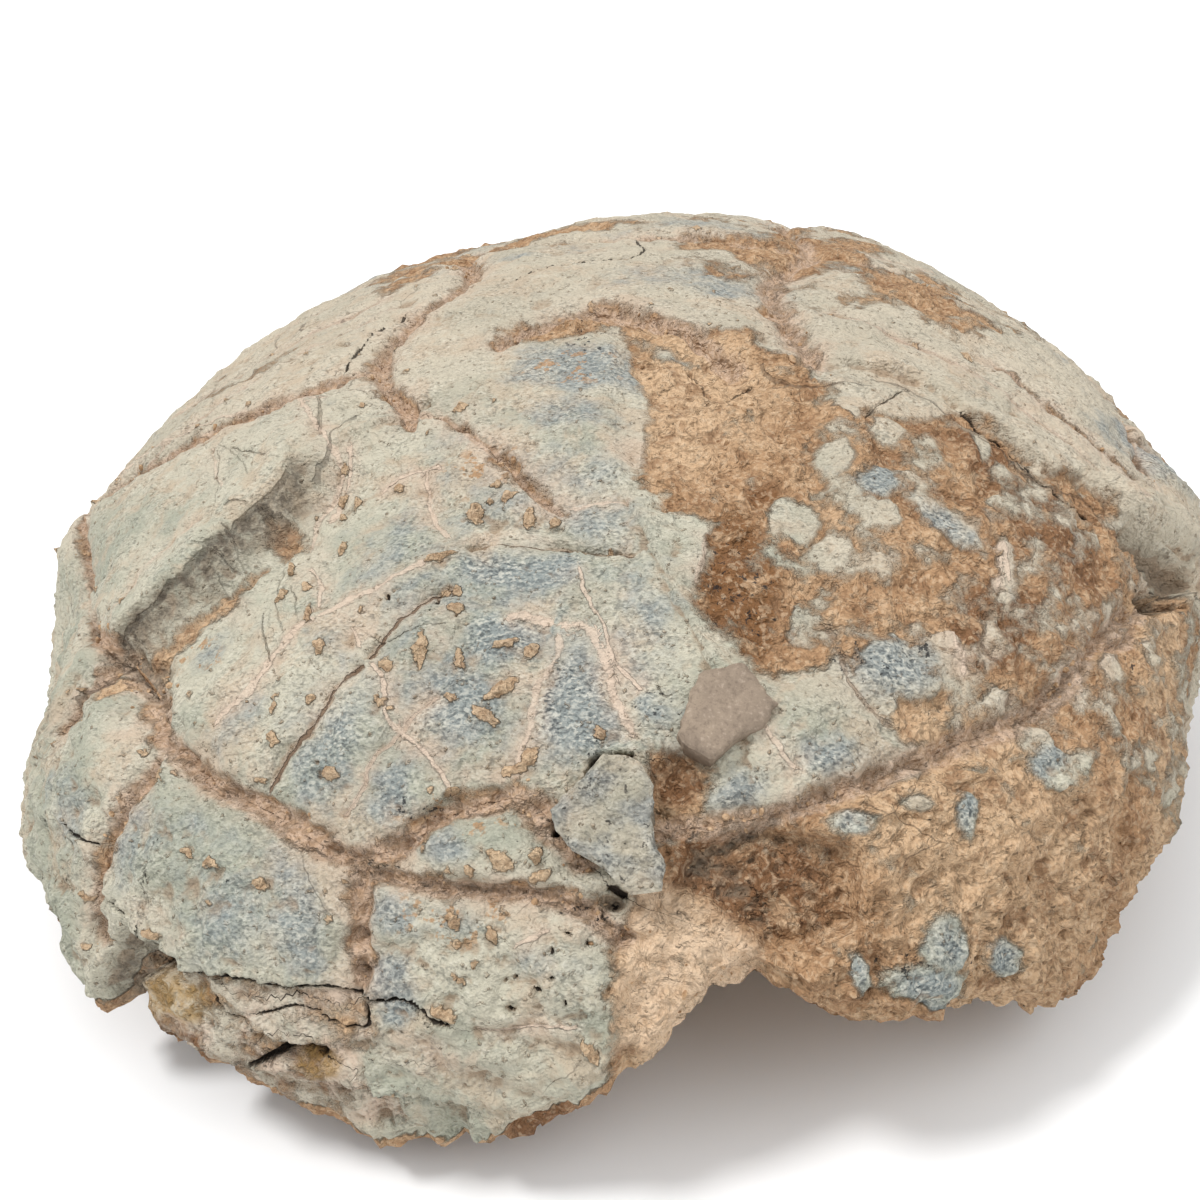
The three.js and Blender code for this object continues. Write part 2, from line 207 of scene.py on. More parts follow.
LEFT_MARGIN = [(-83, -95), (-71, -103), (-60, -113), (-53, -124), (-43, -132), (-32, -138),
               (-18, -145), (-11, -142), (-4, -136), (5, -134), (10, -139), (14, -143)]
RIGHT_MARGIN = [(23, -138), (38, -134), (48, -129), (55, -124), (62, -119), (77, -109), (84, -98),
                (96, -81)]
SCUTE_GROOVES = Lines([
    (LEFT_MARGIN, 2.8, 1.9),
    (RIGHT_MARGIN, 2.5, 2),
    ([(87, -94), (94, -90), (98, -86), (100, -80), (102, -76)], 1.6, 1.4),
    ([(70, -28), (80, -35), (90, -40.5), (100, -43), (106, -42)], 1, 0.8),
    (ring(-19, -8, 5, 20, 35, 50, 65, 80, 95, 110, 125, 140, 155, 170, 185, 200, 215, 230),
     2.4, 2.2),
    ([(-21, -62), (-16, -65), (-9, -71), (-4, -77), (3, -84)], 0.9, 1.2),
    ([(-13, -41), (1, -33), (15, -38), (24, -46)], 2.4, 2.2),
    ([(-18, -145), (-18, -156), (-18, -169)], 1.9, 1.9),
    ([(-54, -129), (-59, -137), (-66, -149), (-70, -162)], 2.2, 2.2),
    ([(-71, -107), (-80, -119)], 2.2, 2),
    ([(-18, -147), (-4, -150), (12, -151), (21, -157)], 2, 1.9),
    ([(-22, -63), (-34, -44), (-27, -12), (-35, 16), (-27, 47), (-34, 78), (-22, 108)], 2.4, 2.2),
    ([(36, -44), (29, -14), (36, 16), (28, 47), (34, 78), (22, 108)], 2.4, 2.2),
    ([(-34, -46), (-48, -50), (-68, -51), (-83, -51), (-106, -54)], 2.4, 2.2),
    ([(-35, 16), (0, 13), (36, 16), (70, 21), (104, 24)], 2.4, 2.2),
    ([(-35, 16), (-70, 21), (-106, 24)], 2.4, 2.2),
    ([(-34, 78), (0, 74), (34, 78), (56, 92), (72, 108)], 2.4, 2.2),
    ([(-34, 78), (-56, 92), (-72, 108)], 2.4, 2.2),
] + [
    ([to_flat(math.radians(turn), RING_FRACTION), to_flat(math.radians(turn + 2), 0.98)], 2.4, 2.2)
    for turn in (-8, 10, 28, 45, 62, 80, 100, 118, 135, 152, 170, 188, 206)
])

# -- sutures between the bones: the line, its width, how far it stands up, how pale it is
SUTURES = Lines([
    ([(-10, -91), (-3, -91), (3, -91), (11, -92), (17, -92)], 0.4, -1.6, 0.5),
    ([(-8, -97), (-15, -103), (-20, -111), (-24, -117), (-27, -123), (-31, -129), (-34, -136)],
     0.55, -1.2, 0.9),
    ([(-7, -116), (-11, -120), (-13, -124), (-16, -128), (-19, -136), (-22, -140)], 0.5, -0.6, 0.9),
    ([(-21, -111), (-17, -114), (-16, -118), (-13, -124), (-9, -127), (-4, -136)], 0.5, 0.4, 1),
    ([(-3, -106), (0, -104), (5, -105), (10, -106), (13, -111), (15, -116), (19, -125)], 0.9, 0.3, 1),
    ([(7, -93), (10, -102), (12, -105), (15, -112), (18, -115), (20, -118)], 0.4, 0.4, 1),
    ([(6, -105), (7, -110), (5, -115), (4, -124), (3, -133)], 0.7, 0.25, 0.8),
    ([(-10, -92), (-15, -95), (-20, -98), (-24, -100), (-29, -103), (-33, -108), (-37, -115),
      (-44, -123)], 0.8, 0.3, 0.9),
    ([(-35, -89), (-33, -92), (-30, -96), (-29, -103)], 0.5, 0.3, 0.9),
    ([(-10, -91), (-14, -86), (-17, -78), (-18, -73)], 0.5, -0.4, 0.9),
    ([(-26, -79), (-23, -76), (-17, -75), (-13, -76)], 0.5, 0.4, 1),
    ([(-46, -51), (-38, -63), (-33, -70), (-33, -76), (-35, -84), (-35, -89)], 0.6, -0.4, 0.9),
    ([(-61, -58), (-54, -71), (-51, -76)], 0.4, -0.3, 0.6),
    ([(-30, -106), (-30, -103), (-30, -99)], 0.4, 0.3, 0.9),
    ([(-21, -111), (-22, -107), (-24, -104)], 0.5, 0.3, 0.9),
    ([(-33, -83), (-31.5, -77), (-31, -66)], 0.6, -0.3, 1),
    ([(-76, -112), (-72, -103), (-68, -93), (-61, -85), (-52, -79.5)], 0.5, -0.3, 0.5),
    ([(3, -84), (6, -83), (9, -82), (15, -83)], 0.5, -0.4, 0.8),
    ([(31, -112), (36, -122), (42, -128)], 0.5, 0.3, 0.8),
    ([(41, -99), (48, -114), (54, -119)], 0.6, -0.7, 0.4),
    ([(60, -95), (64, -100), (70, -106), (71, -112)], 0.6, -0.7, 0.6),
    ([(53, -67), (65, -80), (66, -92)], 0.6, 0.4, 0.9),
    ([(66, -78), (68, -90)], 0.6, 0.4, 0.9),
    ([(53, -92), (57, -96), (60, -101), (63, -108)], 0.5, 0.4, 1),
    ([(24, -85), (24, -93), (23, -99)], 0.4, -0.3, 0.9),
    ([(4, -161), (8, -158), (12, -155)], 0.4, 0.2, 0.9),
    ([(-2, -176), (3, -176), (9, -175), (18, -174)], 0.4, -0.3, 1),
    ([(-103, -46), (-85, -46), (-70, -47), (-57, -49), (-45, -53), (-37, -55)], 0.5, 0.4, 0.8),
] + [
    ([to_flat(math.radians(turn), 0.2 + 0.03 * (turn % 3)),
      to_flat(math.radians(turn + 3), 0.45), to_flat(math.radians(turn + 1), 0.69)], 0.6, -0.6, 0.8)
    for turn in (-31, 2, 27, 41, 64, 83, 98, 121, 139, 154, 178, 197, 208)
])

# -- cracks: the line, its width, its depth
CRACKS = Lines([
    ([(60, -48), (66, -53), (70, -55), (78, -63), (88, -65)], 0.42, 0.9),
    ([(44, -60), (48, -52), (52, -46)], 0.18, 0.6),
    ([(-54, -87), (-50, -88), (-47, -90.5), (-45, -91.5)], 0.25, 0.35),
    ([(-50, -79.5), (-45.5, -80), (-43.5, -81.5)], 0.25, 0.35),
    ([(-49, -82), (-46.5, -87), (-45, -92)], 0.15, 0.3),
    ([(-51, -90), (-48.5, -94), (-46, -96.5)], 0.15, 0.3),
    ([(-36, -67), (-38, -61), (-39.5, -57), (-42, -52)], 0.3, 0.35),
    ([(-58, -60), (-54.5, -70), (-51, -79)], 0.14, 0.3),
    ([(-55, -62), (-49, -67), (-43, -71)], 0.16, 0.4),
    ([(-84, -86), (-76, -84), (-70, -82)], 0.14, 0.3),
    ([(-40, -99), (-37, -106), (-34, -112)], 0.14, 0.4),
    ([(-37, -93), (-34, -98), (-32, -103)], 0.12, 0.3),
    ([(-43, -171), (-42, -176), (-39.5, -178)], 0.35, 0.8),
    ([(-37, -176), (-28, -174), (-23, -177), (-18, -178), (-17.5, -172)], 0.3, 0.9),
    ([(6, -83), (9, -83), (15, -83)], 0.15, 0.4),
    ([(-59, -59), (-52, -66), (-46, -74)], 0.12, 0.3),
    ([(-39, -89), (-37, -100), (-33, -106)], 0.12, 0.3),
    ([(-21, -106), (-17, -108), (-14, -106), (-8, -105)], 0.16, 0.4),
    ([(20, -114), (22, -117), (24, -116)], 0.15, 0.4),
    ([(-77, -139), (-71, -141), (-65, -144)], 0.3, 1.1),
    ([(-69, -151), (-64, -154), (-59, -158)], 0.3, 1.1),
    ([(-50, -167), (-39, -168), (-30, -170), (-22, -170), (-17, -172), (-9, -172), (-5, -175),
      (-2, -176)], 0.28, 1.1),
    ([(20, -57), (21, -58), (23, -58)], 0.3, 0.8),
    ([(24, -56), (26, -53), (28, -50)], 0.25, 0.7),
    ([(17, -47), (20, -53), (20, -57)], 0.2, 0.5),
    ([(-57, -184), (-50, -188), (-44, -189), (-36, -186), (-31, -183), (-24, -185)], 0.7, 2.2),
    ([(-17, -191), (-13, -193), (-8, -194), (-2, -196)], 0.6, 2),
    ([(-18, -20), (-9, -13), (-2, -9), (4, -7), (2, 11)], 0.3, 0.8),
    ([(-40, -46), (-38, -32), (-33, -26)], 0.3, 0.8),
    ([(17, -147), (19, -149), (21, -150)], 0.6, 1.5),
    ([(9, -141), (9.5, -138), (11, -135), (13, -131), (14, -126.5), (17, -126), (20, -126)], 0.55, 3),
])

# -- steps where one sheet of bone ends above the next: the line, its height, how far it dies away.
#    The high side is on the left of the line as it runs.
STEPS = Lines([
    ([(2, -84), (-1, -82), (-5, -76), (-8, -72), (-13, -67), (-17, -65), (-22, -63)], 1.5, 7),
    ([(-12, -52), (-13, -56), (-14, -60), (-16, -63), (-23, -62)], 0.9, 5),
    ([(17, -92), (11, -92), (3, -91), (-3, -91), (-10, -91)], 0.5, 5),
    ([(23, -99), (24, -93), (24, -85)], 1.2, 5),
    ([(-40, -179), (-30, -181), (-17, -180), (-11, -175)], 0.7, 4),
    ([(20, -149), (21, -157), (20, -164), (20, -173), (19, -184)], 0.9, 6),
    ([(34, -22), (34, -44), (28, -45)], 0.8, 5),
    ([(-34, -68), (-29.5, -66.5), (-26, -63), (-23, -60)], 1.3, 4),
    ([(-6, -38.5), (-1, -38), (1, -32.5), (6, -31.5), (13, -36), (19.5, -41), (24, -45.5)], 1.6, 6),
    ([(-45, -23), (-30, -29), (-14, -34), (-10, -44), (-14, -50)], 0.8, 6),
])

# -- folds, with the higher plate on the left of the line as it runs: the line at the foot of the
#    broken edge, its depth, how far off the top of the edge stands, how far the other side slopes up
#    again, and how wide the broken face is
FOLDS = Lines([
    ([(-73, -114), (-62, -107), (-54, -101.5), (-47, -95.5), (-42, -91), (-38, -88), (-34, -82),
      (-31.5, -74), (-31, -66)], 5.5, 8.7, 26, 6.5),
    ([(36, -44), (45, -42), (57, -45), (63, -50), (70, -53), (77, -57), (84, -55), (89, -57), (92, -59.5),
      (96, -60), (106, -58.5), (113, -56.5), (121, -56)], 1.5, 0.4, 9, 0.8),
])

# -- areas that stand above or below the dome: outline, height, soft edge
LOWER_LAYER = [(-62, -170), (-56, -167), (-46, -167.5), (-39, -169), (-28, -170.5), (-18, -170),
               (-16, -178), (-19, -187), (-14, -200), (-80, -205), (-72, -180)]
BROKEN_FACE = [(-60.5, -159.5), (-64, -162), (-69, -167), (-73.5, -171), (-79, -177), (-73, -178),
               (-69, -171), (-57, -163), (-60, -161.5)]
CAVITY = [(93, -63), (95.5, -60.5), (100, -60.5), (106, -60), (111, -59), (117, -58.5), (122, -60),
          (118, -66), (112.5, -68.5), (107, -70), (103.5, -70.5), (99, -69.5), (96.5, -67.5), (93, -68)]
AREAS = [
    ([(6, -41), (39, -50), (40, -83), (43, -111), (33, -113), (25, -104), (10, -72)], -1.6, 2.5),
    ([(21, -150), (27, -147), (33, -150), (42, -157), (40, -175), (22, -188)], -2.2, 3),
    ([(27, -147), (33, -150), (40, -155), (46, -160), (54, -152), (50, -138), (38, -135), (28, -140)],
     -4.5, 1.4),
    (LOWER_LAYER, -0.9, 0.5),
    ([(-68, -181), (-59, -182), (-50, -188), (-41, -190), (-31, -189), (-17, -192), (-3, -195.5),
      (-3, -206), (-80, -206)], -2.2, 0.7),
    ([(-58, -161.5), (-53, -162.5), (-48.5, -165), (-48.5, -167), (-53, -168.5), (-58, -169.5),
      (-61, -168)], -8.5, 0.8),
    (BROKEN_FACE, -4, 1.5),
    ([(-33, -182), (-26, -181.5), (-24, -184), (-30, -186), (-34, -186)], -2.2, 1.2),
    ([(-24.5, -58.5), (-21, -57.5), (-19.5, -60), (-23, -60.5)], -2.5, 0.7),
    (CAVITY, -5.5, 1),
    ([(101.5, -73.5), (109.5, -71), (116, -67), (120, -67), (112.5, -72), (109, -75.5), (104, -77.5),
      (98.5, -77)], -9, 0.8),
    ([(90, -56.5), (96, -58), (106, -56.5), (113, -54.5), (124, -54), (127, -46), (115, -44),
      (104, -45), (94, -50), (87, -53)], 2.6, 1.6),
]

# -- lumps and hollows: x, y, radius, height
LUMPS = [
    (-112, -97, 27, -6), (-104, -62, 13, 4), (80, 42, 26, -3.5), (112, 16, 20, -2),
    (128, -24, 14, 3), (128, -84, 20, -3.5),
    (25, -129, 4, -4), (19, -151, 3, -4), (-38, 43, 20, -2),
]

# -- where sediment covers the bone, and bone that shows through it again
SEDIMENT = [
    [(-72, -111), (-62, -105), (-54, -99.5), (-47, -93.5), (-42, -90), (-43, -93.5), (-48, -98),
     (-54, -104), (-62, -110), (-71, -115)],
    [(-43, -81.5), (-39, -80.5), (-35.5, -83), (-35.5, -87), (-39, -88.5), (-42, -86)],
    [(7, -41), (17, -47), (28, -42), (38, -48), (40, -58), (36, -66), (37, -73), (32, -80),
     (33, -90), (42, -96), (43, -105), (42, -109), (35, -111), (30, -108), (24, -101), (25, -85),
     (17, -83), (14, -77), (13, -60)],
    [(37, -56), (50, -57), (60, -49), (70, -53.5), (77, -57), (84, -55.5), (89, -57), (92, -60),
     (99, -83), (87, -103), (69, -116),
     (55, -120), (50, -114), (43, -105), (42, -96), (33, -90)],
    [(20, -142), (39, -134), (55, -126), (77, -110), (96, -89), (122, -120), (130, -150),
     (90, -190), (51, -190), (22, -190), (20, -160)],
    [(-16, -37), (-5, -35), (1, -29), (18, -39), (27, -37), (25, -49), (17, -46), (4, -37),
     (-6, -44)],
    [(21, -125), (27, -124), (29, -127), (28, -138), (23, -138), (21, -132)],
    [(88, -84), (90, -62), (96, -62), (108, -64), (122, -64), (134, -70), (134, -124), (113, -135)],
]
BARE_BONE = [  # x, y, two radii, degrees
    (40, -69, 5, 4, 88), (41, -88, 5, 4, 94), (36, -83, 6, 4, 98), (47, -73, 5, 4, 63),
    (48, -80, 4, 3, 86), (57, -78, 9, 4, 144), (48, -61, 5, 4, 99), (42, -57, 4, 2, 118),
    (49, -46, 4, 3, 76), (39, -46, 6, 4, 66), (41, -116, 6, 6, 120), (56, -110, 5, 3, 18),
    (58, -101, 4, 2, 22), (64, -57, 6, 2, 80), (90, -97, 4, 4, 67), (68, -109, 4, 3, 32),
    (51, -114, 3, 2, 34), (67, -84, 8, 2, 93), (79, -119, 5, 4, 58), (49, -134, 4, 3, 17),
    (58, -130, 4, 2, 8), (66, -130, 6, 3, 103), (68, -154, 8, 5, 128), (55, -160, 6, 2, 113),
    (81, -156, 7, 4, 142), (67, -162, 11, 5, 174), (51, -108, 8, 6, 9), (44, -124, 9, 5, 11),
    (33, -131, 6, 4, 37),
]
BLUE_ZONES = [  # how strong the blue-grey is, and where
    (0.5, [(-33, -128), (-30, -104), (-22, -90), (-18, -66), (8, -72), (14, -84), (21, -100), (24, -124),
           (10, -129), (-5, -134), (-22, -141)]),
    (0.4, [(-66, -146), (-60, -132), (-34, -140), (-22, -150), (-21, -168), (-40, -166), (-60, -157)]),
    (1, [(-9, -93), (0, -93), (8, -93), (9, -98), (2, -99.5), (-6, -99), (-9, -97)]),
    (1, [(-4, -103), (3, -104), (6, -106), (4, -112), (-1, -113), (-6, -112), (-7, -106)]),
    (0.9, [(-10, -113), (-5, -112), (0, -115), (2, -120), (-1, -126), (-8, -126), (-12, -122)]),
    (1.1, [(5, -112), (9, -109), (13, -113), (16, -119), (18, -124), (12, -126), (5, -124), (3, -118)]),
    (0.9, [(13, -103), (17, -107), (21, -114), (22, -121), (19, -121), (15, -112)]),
    (0.9, [(15, -101), (19, -101), (21, -108), (18, -109)]),
    (0.75, [(-30, -121), (-24, -115), (-20, -119), (-17, -124), (-19, -133), (-22, -139), (-28, -136),
            (-31, -129)]),
    (0.9, [(-17, -130), (-12, -128), (-10, -133), (-9, -138), (-14, -141), (-19, -138)]),
    (0.6, [(-42, -118), (-37, -114), (-33, -118), (-36, -124), (-41, -128), (-44, -124)]),
    (0.8, [(-20, -99), (-14, -95), (-10, -94), (-10, -97), (-16, -101)]),
    (0.6, [(-9, -88), (-8, -80), (-4, -78), (1, -82), (0, -89)]),
    (0.6, [(-20, -68), (-16, -65), (-8, -66), (-9, -72), (-17, -73)]),
    (0.7, [(3, -75), (12, -74), (12, -79), (4, -80)]),
    (0.7, [(3, -84), (9, -85), (13, -86), (12, -90), (3, -90)]),
    (0.4, [(-50, -103), (-45, -101), (-43, -107), (-49, -110)]),
    (0.5, [(-66, -141), (-60, -132), (-50, -138), (-47, -147), (-54, -155), (-62, -153)]),
    (0.6, [(-45, -152), (-40, -147), (-32, -148), (-30, -157), (-36, -166), (-44, -166), (-45, -160)]),
    (0.8, [(-33, -140), (-28, -143), (-23, -152), (-23, -160), (-22, -168), (-28, -168), (-31, -158)]),
    (0.9, [(-18, -151), (-9, -152), (-10, -158), (-17, -158)]),
    (1, [(-16.5, -163), (-10, -164), (-9, -172), (-11, -178), (-15, -177), (-16, -170)]),
    (0.5, [(-10, -150), (-2, -152), (5, -156), (3, -160), (-6, -157)]),
    (1, [(-9, -143), (-5, -140), (-3, -144), (-6, -147)]),
    (0.5, [(5, -158), (16, -160), (19, -163), (12, -166), (5, -163)]),
    (0.5, [(-80, -128), (-72, -126), (-66, -134), (-70, -146), (-80, -142)]),
    (0.8, [(-8, -46), (4, -44), (16, -46), (12, -56), (2, -58), (-10, -56)]),
    (0.7, [(-6, -60), (4, -60), (8, -66), (-2, -68)]),
    (0.5, [(0, -14), (14, -8), (34, -8), (34, -24), (16, -26), (0, -24)]),
]
BLUE_SPOTS = [  # x, y, two radii, degrees
    (33, -131, 8, 5, 37), (44, -124, 10, 6, 11), (79, -119, 6, 5, 58), (49, -134, 5, 4, 17),
    (66, -130, 7, 4, 103), (68, -154, 9, 6, 128), (55, -160, 7, 3, 113), (81, -156, 8, 5, 142),
    (67, -162, 12, 6, 174), (111, -23, 34, 14, 37), (51, -108, 10, 8, 9), (47, -73, 6, 5, 63),
    (57, -79, 9, 4, 144), (79, -74, 4, 3, 60), (82, -79, 4, 4, 60),
]
PINKISH = [  # where a pinkish cream film lies on the bone: x, y, two radii, degrees
    (3, -116, 5, 6, 90), (-24, -102, 7, 5, 20), (-2, -131, 10, 4, 0), (-52, -158, 12, 5, 155),
    (-34, -90, 6, 5, 60), (-9, -106, 5, 4, 90), (0, -90, 14, 3, 0), (10, -100, 3, 6, 90),
    (-20, -108, 6, 5, 40), (-45, -98, 8, 4, 140), (-2, -148, 14, 4, 175), (12, -71, 6, 6, 0),
    (-62, -120, 8, 5, 130), (26, -160, 6, 16, 5), (-10, -182, 18, 7, 175), (-28, -176, 10, 5, 170)]
CRUSTS = [  # lumps of sediment stuck on the bone: x, y, two radii, degrees
    (-12, -109.7, 3.6, 1, 92), (-8.2, -84.9, 2.7, 1.4, 108), (-6.5, -82.6, 1, 0.7, 86),
    (-6.2, -79.4, 1, 0.6, 86), (-4, -82.2, 1.5, 0.8, 61), (-0.4, -86, 2, 0.8, 104),
    (3, -86.6, 1.4, 0.8, 92), (-31.5, -77, 1.9, 0.8, 112), (-30.5, -80.5, 1.2, 0.8, 122),
    (-28.3, -88.3, 1.8, 0.8, 94), (-28.6, -78.5, 1.8, 0.7, 105), (-37.1, -96.7, 1.9, 0.9, 69),
    (-36.8, -91.1, 1.9, 0.7, 106), (-32.9, -95.5, 1.7, 0.9, 140), (-30.2, -102.1, 2.2, 0.7, 105),
    (-26.7, -109.3, 1.6, 0.9, 109), (-27.3, -118, 1.2, 0.8, 77), (-33.1, -119.3, 1.2, 0.7, 74),
    (-31.8, -125.1, 1.8, 0.8, 112), (-22.5, -131, 1.5, 1, 146), (-0.5, -109, 2.1, 0.8, 19),
    (3.3, -109.7, 1.6, 0.8, 59), (0, -116.6, 3.1, 1, 40), (-1.6, -120.8, 2.5, 1, 148),
    (-6.7, -118.2, 1.5, 0.8, 134), (-6.3, -111.4, 2.2, 0.6, 101), (-10, -99.8, 1.1, 0.6, 126),
    (-8.3, -99.7, 1.4, 0.7, 116), (-8.1, -102.9, 1.6, 0.8, 147), (14, -122.9, 1.4, 0.9, 97),
    (5, -127.3, 2.1, 1.2, 55), (-7.5, -74.3, 1.4, 0.6, 66), (-11.9, -93.6, 2.6, 0.8, 18),
    (2.5, -144.6, 2.7, 1.3, 137), (7.5, -143.5, 1.9, 1, 93), (8.3, -146.9, 2, 1.2, 52),
    (-1.3, -146.4, 1.3, 0.8, 90), (2.1, -157.9, 2.2, 1, 120), (-3.4, -155.7, 1.9, 0.9, 124),
    (0, -163.1, 1.4, 0.6, 90), (-2.2, -166, 1.4, 0.6, 145), (-4.5, -172.9, 2.6, 1.2, 161),
    (18, -179.1, 2.9, 1.4, 120), (-5.2, -133.3, 1.6, 0.8, 50), (-52.9, -160.4, 1.8, 1, 139),
    (-40.1, -147.1, 1.4, 0.8, 141), (-32.7, -150.6, 1.5, 0.8, 130), (-45.1, -145.2, 1.4, 0.8, 138),
]
# outlines of the bed that the loose flake lies in, and of the hole under the right fold, which is painted
# black as shade
FLAKE = [(15, -127), (18, -127), (20, -128), (22, -132), (23, -140), (25, -144), (25, -148), (21, -149),
         (17, -145), (12, -142), (10, -139), (9, -136), (12, -132), (14, -129)]
SHADOWED_HOLE = [(99, -72.5), (104, -70.5), (110, -68.5), (117, -67), (114, -71), (109, -74), (104, -76)]
PITS = [  # small holes in the bone: x, y, two radii, degrees
    (-24.5, -129.1, 1.3, 0.8, 145), (-24.2, -130.7, 1, 0.8, 79), (-18.1, -100.3, 1.4, 0.9, 140),
    (-19.6, -100.8, 0.7, 0.7, 0), (-17.5, -99.2, 0.7, 0.7, 0), (4.4, -166.2, 0.8, 0.6, 92),
    (5.8, -165.4, 1, 0.6, 92), (9.5, -167, 1.7, 0.9, 165), (5.2, -171.6, 1.8, 1, 164),
    (13.3, -169.2, 1.5, 0.8, 95), (11.2, -160, 1.2, 0.9, 94), (15.9, -158.3, 1.7, 0.9, 151),
    (11.5, -164.4, 1, 0.8, 94), (-11, -100.9, 1.6, 0.7, 115), (-11.7, -102.8, 0.9, 0.6, 84),
    (-21.7, -102, 0.8, 0.6, 78), (-7.7, -104.2, 1, 0.6, 148), (18.7, -152.3, 1, 0.8, 97),
    (13, -156.4, 1.5, 0.8, 165),
]
RUSTY = [  # where rust-brown spots lie on the bone: x, y, two radii, degrees
    (0, -51, 13, 7, 0), (-3, -154, 13, 9, 10), (-4, -137, 12, 6, 8), (-9, -76, 9, 7, 30),
    (-52, -106, 12, 6, 140)]
PALE_SEDIMENT = [
    (-57, -104, 24, 10, 34), (20, -58, 24, 16, 100), (27, -166, 22, 12, 80), (-28, -176, 20, 10, 170),
    (113, -101, 45, 18, 98), (48, -122, 30, 5, 14), (78, -140, 48, 30, 140)]
DARK_SEDIMENT = [
    (38, -145, 17, 11, 160), (25, -129, 6, 5, 90), (74, -70, 24, 11, 130), (66, -96, 14, 8, 60),
    (0, -193, 40, 6, 0), (-45, -188, 30, 6, 160)]
SPECKLED = [  # where black mineral specks are scattered: x, y, two radii, degrees
    (15, -153, 7, 3, 170), (46, -108, 8, 7, 20), (29, -97, 16, 9, 100), (22, -118, 5, 9, 100),
    (60, -160, 10, 6, 20), (74, -158, 9, 5, 140), (-9, -136, 7, 4, 0), (54, -104, 5, 4, 0),
    (96, -96, 5, 4, 90), (1, -40, 14, 8, 80), (13, -126, 5, 4, 60)]
YELLOW = [(-54, -174, 13, 7, 10), (-27, -186, 6, 4, 10)]  # olive-yellow stains
OCHRE = [  # orange-brown stains in the sediment
    (29, -97, 22, 9, 100), (-51, -174, 12, 8, 16), (-31, -187, 8, 6, 32), (31, -78, 5, 4, 90)]
# outline of the pale broken face beside the notch, which is painted lighter than its sediment as painted
# light, since the lamps leave it in shade
LIGHT_FACE = [(20, -146), (26, -146.5), (33, -150.5), (41, -156.5), (43, -165), (36, -172), (26, -180),
              (20, -182), (20, -160)]


def waves(point, size):
    """Slow unevenness of a crushed and weathered surface."""
    x, y, z = point.T
    long_ = np.sin(x / 17 + y / 29 + 0.6) * np.cos(y / 15 - z / 23 + 1.9)
    short = np.sin(x / 7.3 - y / 9.1 + 2.2) * np.sin(y / 6.7 + z / 8.3)
    return size * (long_ + 0.4 * short)


def ragged(spots):
    """The same spots moved a little at random, so that lines and edges on them come out ragged."""
    by = [0.35 * rough(spots, 7, 2, seed) + 0.16 * rough(spots, 1.7, 2, seed + 2) for seed in (1, 2)]
    return spots + np.stack(by, -1)


def in_zones(zones, spots):
    """How strongly a spot belongs to one of a set of outlined zones, each with its strength."""
    return np.max([strength * smoothstep(-4, 3.5, depth_inside(outline, spots))
                   for strength, outline in zones], axis=0)


def sediment_depth(spots, groove, groove_width):
    """How far inside the sediment a spot lies, in millimetres, negative on bare bone."""
    depth = np.max([depth_inside(outline, spots) for outline in SEDIMENT], axis=0)
    elsewhere = 4 * rough(spots, 30, 4, 11) - 2.3
    depth = np.maximum(depth, np.where(spots[:, 1] > -35, elsewhere, -9))
    right = smoothstep(30, 44, spots[:, 0]) * smoothstep(-128, -118, spots[:, 1])
    right *= smoothstep(-45, -55, spots[:, 1])
    depth = np.minimum(depth, np.where(right > 0.5, 1.3 * rough(spots, 8, 4, 21) + 0.7, 99))
    depth = np.minimum(depth, -6 * in_patches(BARE_BONE, spots) + 1.6)
    depth = np.maximum(depth, np.minimum(depth_inside(LOWER_LAYER, spots), -0.5))
    depth = np.maximum(depth, 0.62 * groove_width + 0.6 * rough(spots, 4, 3, 12) - groove)
    return depth + 0.9 * rough(spots, 5, 4, 13)


DEEPEST = -8.5  # below this the areas don't cut


